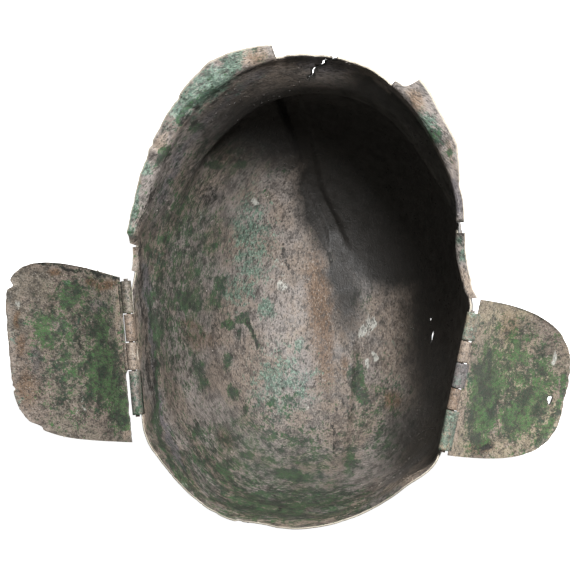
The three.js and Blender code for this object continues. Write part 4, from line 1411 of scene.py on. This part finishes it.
def floor_material(settings):
    m = Nodes("pale_floor")
    m.shader.inputs["Base Color"].default_value = colour(settings.floor_colour)
    m.shader.inputs["Roughness"].default_value = FLOOR_ROUGHNESS
    m.shader.inputs["Emission Color"].default_value = (1, 1, 1, 1)
    m.shader.inputs["Emission Strength"].default_value = settings.floor_glow
    return m.material


# Settings shown to a user


def tone(label, about, default):
    return bpy.props.FloatVectorProperty(
        name=label, description=about, default=default, subtype="COLOR", size=3, min=0, max=1
    )


def number(label, about, default, **limits):
    return bpy.props.FloatProperty(name=label, description=about, default=default, **limits)


def whole(label, about, default, least):
    return bpy.props.IntProperty(name=label, description=about, default=default, min=least)


class HelmetTones(bpy.types.PropertyGroup):
    """Colours and gloss of the corroded bronze."""

    ground: tone("Ground", "Pinkish grey of the bare corroded sheet", (0.2, 0.176, 0.162))
    ground_warm: tone("Warm ground", "Brown between", (0.165, 0.132, 0.108))
    left_ground: tone("Left ground", "Ground of the left cheek-piece", (0.165, 0.143, 0.112))
    # The right cheek-piece's ground is lighter than the left's: partly its own yellower tone, partly painted
    # light, as the right plate faces the key light more
    right_ground: tone("Right ground", "Ground of the right cheek-piece", (0.27, 0.225, 0.155))
    grain_light: tone("Light grain", "Beige specks", (0.29, 0.265, 0.235))
    grain_dark: tone("Dark grain", "Hollows between the specks", (0.022, 0.019, 0.016))
    green: tone("Green", "Malachite green", (0.018, 0.062, 0.018))
    cheek_green: tone("Cheek green", "Brighter green of the cheek-pieces", (0.036, 0.1, 0.028))
    green_dark: tone("Dark green", "Green in its hollows", (0.009, 0.026, 0.013))
    teal: tone("Teal", "Pale blue-green bloom", (0.145, 0.235, 0.175))
    teal_dark: tone("Dark teal", "Blue-green in its hollows", (0.045, 0.095, 0.07))
    rust: tone("Rust", "Orange-brown bands", (0.115, 0.06, 0.026))
    # Dark is also the colour of the painted shade inside the bowl
    dark: tone("Dark", "Black pits, cracks and soot", (0.008, 0.007, 0.006))
    pale: tone("Pale", "Whitish bloom", (0.4, 0.4, 0.36))
    beige: tone("Beige", "Beige-pink bloom", (0.25, 0.195, 0.15))
    lilac: tone("Lilac", "Lilac-grey bloom", (0.108, 0.1, 0.11))
    edge: tone("Edge", "Bright worn edge of the sheet", (0.42, 0.38, 0.31))
    metallic: number("Metal", "How metallic the sheet looks", 0.1, min=0, max=1)
    roughness: number("Roughness", "Mean roughness of the sheet", 0.6, min=0, max=1)


class HelmetFineness(bpy.types.PropertyGroup):
    """How finely the sheets are modelled."""

    columns: whole("Columns", "Columns round the bowl", 410, 60)
    wall_rows: whole("Wall rows", "Rows from crown to rim", 96, 20)
    lip_rows: whole("Lip rows", "Rows of the neck guard lip", 8, 2)
    plate_columns: whole("Plate columns", "Columns of a cheek-piece", 190, 20)
    plate_rows: whole("Plate rows", "Rows of a cheek-piece", 140, 20)


class HelmetStage(bpy.types.PropertyGroup):
    """Camera, lights and floor."""

    lean: number("Lean", "Lean of the camera to the right", 10)
    lean_back: number("Lean back", "Lean toward the neck guard", 0)
    roll: number("Roll", "Turn of the picture", 4.6)
    distance: number("Distance", "Camera to target", 1.1, unit="LENGTH")
    lens: number("Lens", "Focal length", 109.6)
    target: bpy.props.FloatVectorProperty(
        name="Target",
        description="Point that the camera looks at",
        default=(-0.0212, 0.001, 0.1),
        unit="LENGTH",
    )
    floor_side: number("Floor", "Side of the floor", 8, unit="LENGTH")
    floor_colour: tone("Floor colour", "Pale floor", (0.7, 0.7, 0.7))
    floor_glow: number("Floor glow", "Lifts the floor toward white", 1.0)
    key: number("Key light", "Power of the main soft light", 36)
    fill: number("Fill light", "Power of the weak light", 1)
    sky: number("Sky", "Strength of the even light", 0.07)


def place_piece(piece, body, nodes, material):
    for polygon in piece.data.polygons:
        polygon.use_smooth = True
    piece.data.materials.clear()
    piece.data.materials.append(material)
    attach(piece, body)
    if nodes:
        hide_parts(*nodes)


def with_poles(outer, inner):
    """Grid values in the order of the shell's points, with the two poles first."""
    poles = np.stack([outer[0].mean(0), inner[0].mean(0)])
    return np.concatenate([poles, outer.reshape(-1, *outer.shape[2:]), inner.reshape(-1, *inner.shape[2:])])


# Grain runs along the rim on the walls and front to back on the crown, this many times longer than wide
GRAIN_STRETCH = 2
CHEEK_GRAIN_STRETCH = 1.3
# Wear of the edge row and of the row inside it
EDGE_WEAR = 1.0
NEXT_WEAR = 0.35
KNUCKLE_WEAR = 0.15
# Rows from the edge inward, the lip's included, that the painted shade and tarnish don't reach
LIP_CLEAN_ROWS = 11


def bowl_marks(mesh, outer, inner, stage):
    """Stains, painted shade, worn edges and grain of the bowl."""
    points = with_poles(outer, inner)
    rows, columns, _ = outer.shape
    seen = with_poles(np.zeros((rows, columns)), np.ones((rows, columns)))
    marks = all_marks(points, seen, BOWL_STAINS, stage)
    clean = np.zeros((rows, columns))
    clean[-LIP_CLEAN_ROWS:] = 1
    marks["painted_shade_and_tarnish"] = marks["painted_shade_and_tarnish"] * (1 - with_poles(clean, clean))
    edge = np.zeros((rows, columns))
    edge[-1] = EDGE_WEAR
    edge[-2] = NEXT_WEAR
    bearing = np.arctan2(points[:, 1], points[:, 0])
    wall = np.stack([np.cos(bearing), np.sin(bearing), 0 * bearing], -1) * HALF_WIDTH / GRAIN_STRETCH
    wall[:, 2] = points[:, 2] + np.hypot(points[:, 0], points[:, 1])
    crown = points / [1, GRAIN_STRETCH, 1]
    high = smooth(0.2, 0.5, points[:, 2] / RIM_SIDE)[:, None]
    set_marks(mesh, marks, with_poles(edge, edge), (crown + (wall - crown) * high) * MM)


def plate_marks(mesh, seen, edge, table, stage):
    """Stains, worn edges and grain of a cheek-piece."""
    points = mesh_points(mesh) / MM
    marks = all_marks(points, seen, table, stage)
    set_marks(mesh, marks, edge, points / [CHEEK_GRAIN_STRETCH, 1, 1] * MM)


# Finish of each knuckle from back to front, as shares of each kind of stain
BOWL_KNUCKLES = {
    -1: ({"beige": 0.9, "rust": 0.5}, {"teal": 0.6, "green": 0.4}),
    1: ({"beige": 0.9, "pale": 0.3}, {"rust": 0.6, "beige": 0.7}),
}
CHEEK_KNUCKLES = {
    -1: ({"green": 0.4, "beige": 0.5}, {"beige": 0.8, "pale": 0.5}),
    1: ({"teal": 0.5, "pale": 0.4}, {"lilac": 0.9, "teal": 0.3}, {"teal": 0.7, "beige": 0.6}),
}


# Size of the areas with lumps in millimetres and seed of their noise
CRUST_AREAS = (16, 181)
# No lump sits lower than this, in millimetres, so that the crown flat lies on the table
CRUST_LOWEST = 2.5


def add_crust(mesh):
    """Writes where lumps of corrosion sit, from 0 to 1."""
    points = mesh_points(mesh) / MM
    lumpy = smooth(0.42, 0.7, rough_noise(points, *CRUST_AREAS)) * (points[:, 2] > CRUST_LOWEST)
    layer = mesh.attributes.new("crust", "FLOAT", "POINT")
    layer.data.foreach_set("value", lumpy.astype(np.float32))


def strap_hole():
    """Cutter for the strap hole near the far edge of the right cheek-piece."""
    back, along, outward, up = cheek_frame(1)
    middle = back + along * STRAP_HOLE["along"] + outward * STRAP_HOLE["reach"] * CHEEKS[1]["reach"]
    turn = Matrix((along, outward, up)).transposed()
    if turn.determinant() < 0:
        turn = Matrix((-along, outward, up)).transposed()
    place = Matrix.Translation(Vector(middle) * MM) @ turn.to_4x4()
    return ragged_rod("hole", STRAP_HOLE["length"], STRAP_HOLE["width"], STRAP_HOLE["through"], place)


def knuckle_row(name, tree, material, side, spans, finishes, swung):
    """All rolled knuckles of one piece on one hinge, each with the tongue that carries it."""
    work = bmesh.new()
    shares = {kind: [] for kind in BOWL_STAINS}
    for (start, end), finish in zip(spans, finishes):
        low, high = start + KNUCKLE_GAP / 2, end - KNUCKLE_GAP / 2
        reach = (CHEEK_ROOT + 1.2, 0) if swung else (0, HINGE_OVER_RIM + 1.5)
        neck = tongue(side, low, high, swung, *reach)
        for mesh in (rolled_knuckle(tree, material, side, low, high, swung), neck):
            for kind, values in shares.items():
                values.append(np.full(len(mesh.vertices), finish.get(kind, 0.0)))
            work.from_mesh(mesh)
    mesh = bpy.data.meshes.new(name)
    bmesh.ops.recalc_face_normals(work, faces=work.faces)
    work.to_mesh(mesh)
    work.free()
    marks = {kind: np.concatenate(values) for kind, values in shares.items()}
    points = mesh_points(mesh)
    set_marks(mesh, marks, KNUCKLE_WEAR * np.ones(len(points)), points)
    return added(name, mesh)


def crust_tree():
    """Small lumps of corrosion scattered over a sheet, taking its stains with them."""
    t = Tree(
        "crust",
        {
            "Surface": "NodeSocketObject",
            "Density": "NodeSocketFloat",
            "Smallest": "NodeSocketFloat",
            "Largest": "NodeSocketFloat",
            "Seed": "NodeSocketInt",
            "Material": "NodeSocketMaterial",
        },
    )
    sheet = t.add("GeometryNodeObjectInfo", None, Object=t.inputs["Surface"]).outputs["Geometry"]
    lumpy = t.add("GeometryNodeInputNamedAttribute", {"data_type": "FLOAT"}, Name="crust")
    density = t.math("MULTIPLY", lumpy.outputs["Attribute"], t.inputs["Density"])
    seed = t.inputs["Seed"]
    points = t.add("GeometryNodeDistributePointsOnFaces", None, Mesh=sheet, Density=density, Seed=seed)
    lump = t.add("GeometryNodeMeshIcoSphere", None, Radius=1.0, Subdivisions=1)
    size = t.add("FunctionNodeRandomValue", {"data_type": "FLOAT"}, Seed=seed)
    t.link(t.inputs["Smallest"], size.inputs[2])
    t.link(t.inputs["Largest"], size.inputs[3])
    flat = t.add("ShaderNodeCombineXYZ", None, X=1.0, Y=0.8, Z=0.45)
    scale = t.add("ShaderNodeVectorMath", {"operation": "SCALE"}, Scale=size.outputs[1])
    t.link(flat.outputs[0], scale.inputs[0])
    lumps = t.add(
        "GeometryNodeInstanceOnPoints",
        None,
        Points=points.outputs["Points"],
        Instance=lump.outputs["Mesh"],
        Rotation=points.outputs["Rotation"],
        Scale=scale.outputs[0],
    )
    return t.finish(lumps.outputs[0])


# Lumps for each square metre, and their radii in metres
CRUST_SIZES = {"Density": 42000.0, "Smallest": 0.00035, "Largest": 0.0009}
CRUST_SEEDS = {"bowl": 7, "left": 10, "right": 12}


def crusted(name, surface, seed, material):
    """Piece with the corrosion lumps of one sheet."""
    tree = crust_tree()
    values = dict(CRUST_SIZES, Surface=surface, Seed=seed, Material=material)
    return added(name, tree.mesh(name, values))


class HELMET_OT_bowl(bpy.types.Operator):
    """Builds the bowl with its rolled knuckles, cracks and holes."""

    bl_idname = "helmet.bowl"
    bl_label = "Bowl"

    def execute(self, context):
        scene = context.scene
        fine = scene.helmet_fineness
        outer, inner = bowl_grids(fine.columns, fine.wall_rows, fine.lip_rows)
        mesh = shell_mesh("bowl_sheet", outer, inner)
        bowl_marks(mesh, outer, inner, scene.helmet_stage)
        add_crust(mesh)
        cutters = [ragged_slit("crack", CRACK)]
        tear_size = (TEAR["through"], TEAR["along"], TEAR["down"])
        cutters.append(box_mesh("tear", tear_size, (TEAR["x"], TEAR["y"], TEAR["z"])))
        for hole in WALL_HOLES:
            place = Matrix.Translation(Vector((hole["x"], hole["y"], hole["z"])) * MM)
            turned = place @ Matrix.Rotation(radians(WALL_HOLE_LEAN), 4, "Y")
            cutters.append(ragged_rod("hole", hole["wide"], hole["long"], WALL_HOLE_THROUGH, turned))
        piece = cut_from(mesh, cutters, "bowl_sheet")
        tones = scene.helmet_tones
        material = patina("bowl_patina", tones, tones.ground, tones.green)
        place_piece(piece, "helmet_bowl", ["bowl"], material)
        crust = crusted("bowl_crust", piece, CRUST_SEEDS["bowl"], material)
        place_piece(crust, "helmet_bowl", ["bowl"], material)
        tree = knuckle_tree()
        for side, name in ((-1, "left"), (1, "right")):
            label = name + "_bowl_knuckles"
            spans = KNUCKLES[side]["bowl"]
            row = knuckle_row(label, tree, material, side, spans, BOWL_KNUCKLES[side], False)
            place_piece(row, "helmet_bowl", ["bowl"], material)
        return {"FINISHED"}


class HELMET_OT_cheek_pieces(bpy.types.Operator):
    """Builds both cheek-pieces with their rolled knuckles."""

    bl_idname = "helmet.cheek_pieces"
    bl_label = "Cheek-pieces"

    def execute(self, context):
        scene = context.scene
        fine = scene.helmet_fineness
        tones = scene.helmet_tones
        tree = knuckle_tree()
        for side, name, table, ground in (
            (-1, "left", LEFT_CHEEK_STAINS, tones.left_ground),
            # The right ground is partly painted light
            (1, "right", RIGHT_CHEEK_STAINS, tones.right_ground),
        ):
            upper, lower = cheek_plate(side, fine.plate_columns, fine.plate_rows)
            mesh = plate_mesh(name + "_cheek_plate", upper, lower)
            grid = np.zeros(upper.shape[:2])
            grid[0] = grid[-1] = 1
            grid[:, -1] = 1
            edge = np.concatenate([grid.ravel(), grid.ravel()])
            seen = np.concatenate([np.ones(grid.size), np.zeros(grid.size)])
            plate_marks(mesh, seen, edge, table, scene.helmet_stage)
            add_crust(mesh)
            piece = cut_from(mesh, [strap_hole()] if side > 0 else [], name + "_cheek_plate")
            material = patina(name + "_cheek_patina", tones, ground, tones.cheek_green)
            body = name + "_cheek"
            node = name + "_cheek_piece"
            place_piece(piece, body, [node], material)
            crust = crusted(name + "_cheek_crust", piece, CRUST_SEEDS[name], material)
            place_piece(crust, body, [node], material)
            label = name + "_cheek_knuckles"
            spans = KNUCKLES[side]["cheek"]
            row = knuckle_row(label, tree, material, side, spans, CHEEK_KNUCKLES[side], True)
            place_piece(row, body, [node], material)
        return {"FINISHED"}


class HELMET_OT_pins(bpy.types.Operator):
    """Gives both hinge pins their dull bronze."""

    bl_idname = "helmet.pins"
    bl_label = "Hinge pins"

    def execute(self, context):
        tones = context.scene.helmet_tones
        material = patina("pin_patina", tones, tones.ground_warm, tones.green, follows=False)
        for name in ("left_hinge_pin", "right_hinge_pin"):
            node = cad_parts[name]
            node.data.materials.clear()
            node.data.materials.append(material)
        return {"FINISHED"}


class HELMET_OT_stage(bpy.types.Operator):
    """Sets the floor, the lights and the camera of the photograph."""

    bl_idname = "helmet.stage"
    bl_label = "Stage"

    def execute(self, context):
        scene = context.scene
        settings = scene.helmet_stage
        half = settings.floor_side / 2
        mesh = bpy.data.meshes.new("floor")
        corners = [(-half, -half, 0), (half, -half, 0), (half, half, 0), (-half, half, 0)]
        mesh.from_pydata(corners, [], [(0, 1, 2, 3)])
        floor = added("floor", mesh)
        mesh.materials.append(floor_material(settings))
        place, right, up, direction = camera_axes(settings)
        data = bpy.data.cameras.new("camera")
        data.sensor_width = SENSOR
        data.sensor_fit = "HORIZONTAL"
        data.lens = settings.lens
        camera = bpy.data.objects.new("camera", data)
        scene.collection.objects.link(camera)
        turn = Matrix((right, up, direction)).transposed().to_4x4()
        camera.matrix_world = Matrix.Translation(place) @ turn
        scene.camera = camera
        for name, power, size, lamp_place in (
            ("key", settings.key, KEY_SIZE, KEY_PLACE),
            ("fill", settings.fill, FILL_SIZE, FILL_PLACE),
        ):
            light = bpy.data.lights.new(name, "AREA")
            light.energy = power
            light.size = size
            lamp = bpy.data.objects.new(name, light)
            scene.collection.objects.link(lamp)
            facing = Vector(LIT_POINT) - Vector(lamp_place)
            aim = facing.to_track_quat("-Z", "Y").to_matrix().to_4x4()
            lamp.matrix_world = Matrix.Translation(lamp_place) @ aim
        world = bpy.data.worlds.new("studio")
        world.use_nodes = True
        sky = world.node_tree.nodes["Background"]
        sky.inputs["Color"].default_value = (1, 1, 1, 1)
        sky.inputs["Strength"].default_value = settings.sky
        scene.world = world
        scene.view_settings.view_transform = "Standard"
        return {"FINISHED"}


class HELMET_PT_panel(bpy.types.Panel):
    """Lists the steps that build the helmet."""

    bl_label = "Helmet"
    bl_idname = "HELMET_PT_panel"
    bl_space_type = "VIEW_3D"
    bl_region_type = "UI"
    bl_category = "Helmet"

    def draw(self, context):
        for step in STEPS:
            self.layout.operator(step.bl_idname)


STEPS = (HELMET_OT_bowl, HELMET_OT_cheek_pieces, HELMET_OT_pins, HELMET_OT_stage)
GROUPS = {"helmet_tones": HelmetTones, "helmet_fineness": HelmetFineness, "helmet_stage": HelmetStage}


def register():
    for group in GROUPS.values():
        bpy.utils.register_class(group)
    for name, group in GROUPS.items():
        setattr(bpy.types.Scene, name, bpy.props.PointerProperty(type=group))
    for step in STEPS:
        bpy.utils.register_class(step)
    bpy.utils.register_class(HELMET_PT_panel)


def unregister():
    bpy.utils.unregister_class(HELMET_PT_panel)
    for step in reversed(STEPS):
        bpy.utils.unregister_class(step)
    for name in GROUPS:
        delattr(bpy.types.Scene, name)
    for group in GROUPS.values():
        bpy.utils.unregister_class(group)


def main():
    register()
    for step in STEPS:
        area, name = step.bl_idname.split(".")
        getattr(getattr(bpy.ops, area), name)()


if __name__ == "__main__":
    main()
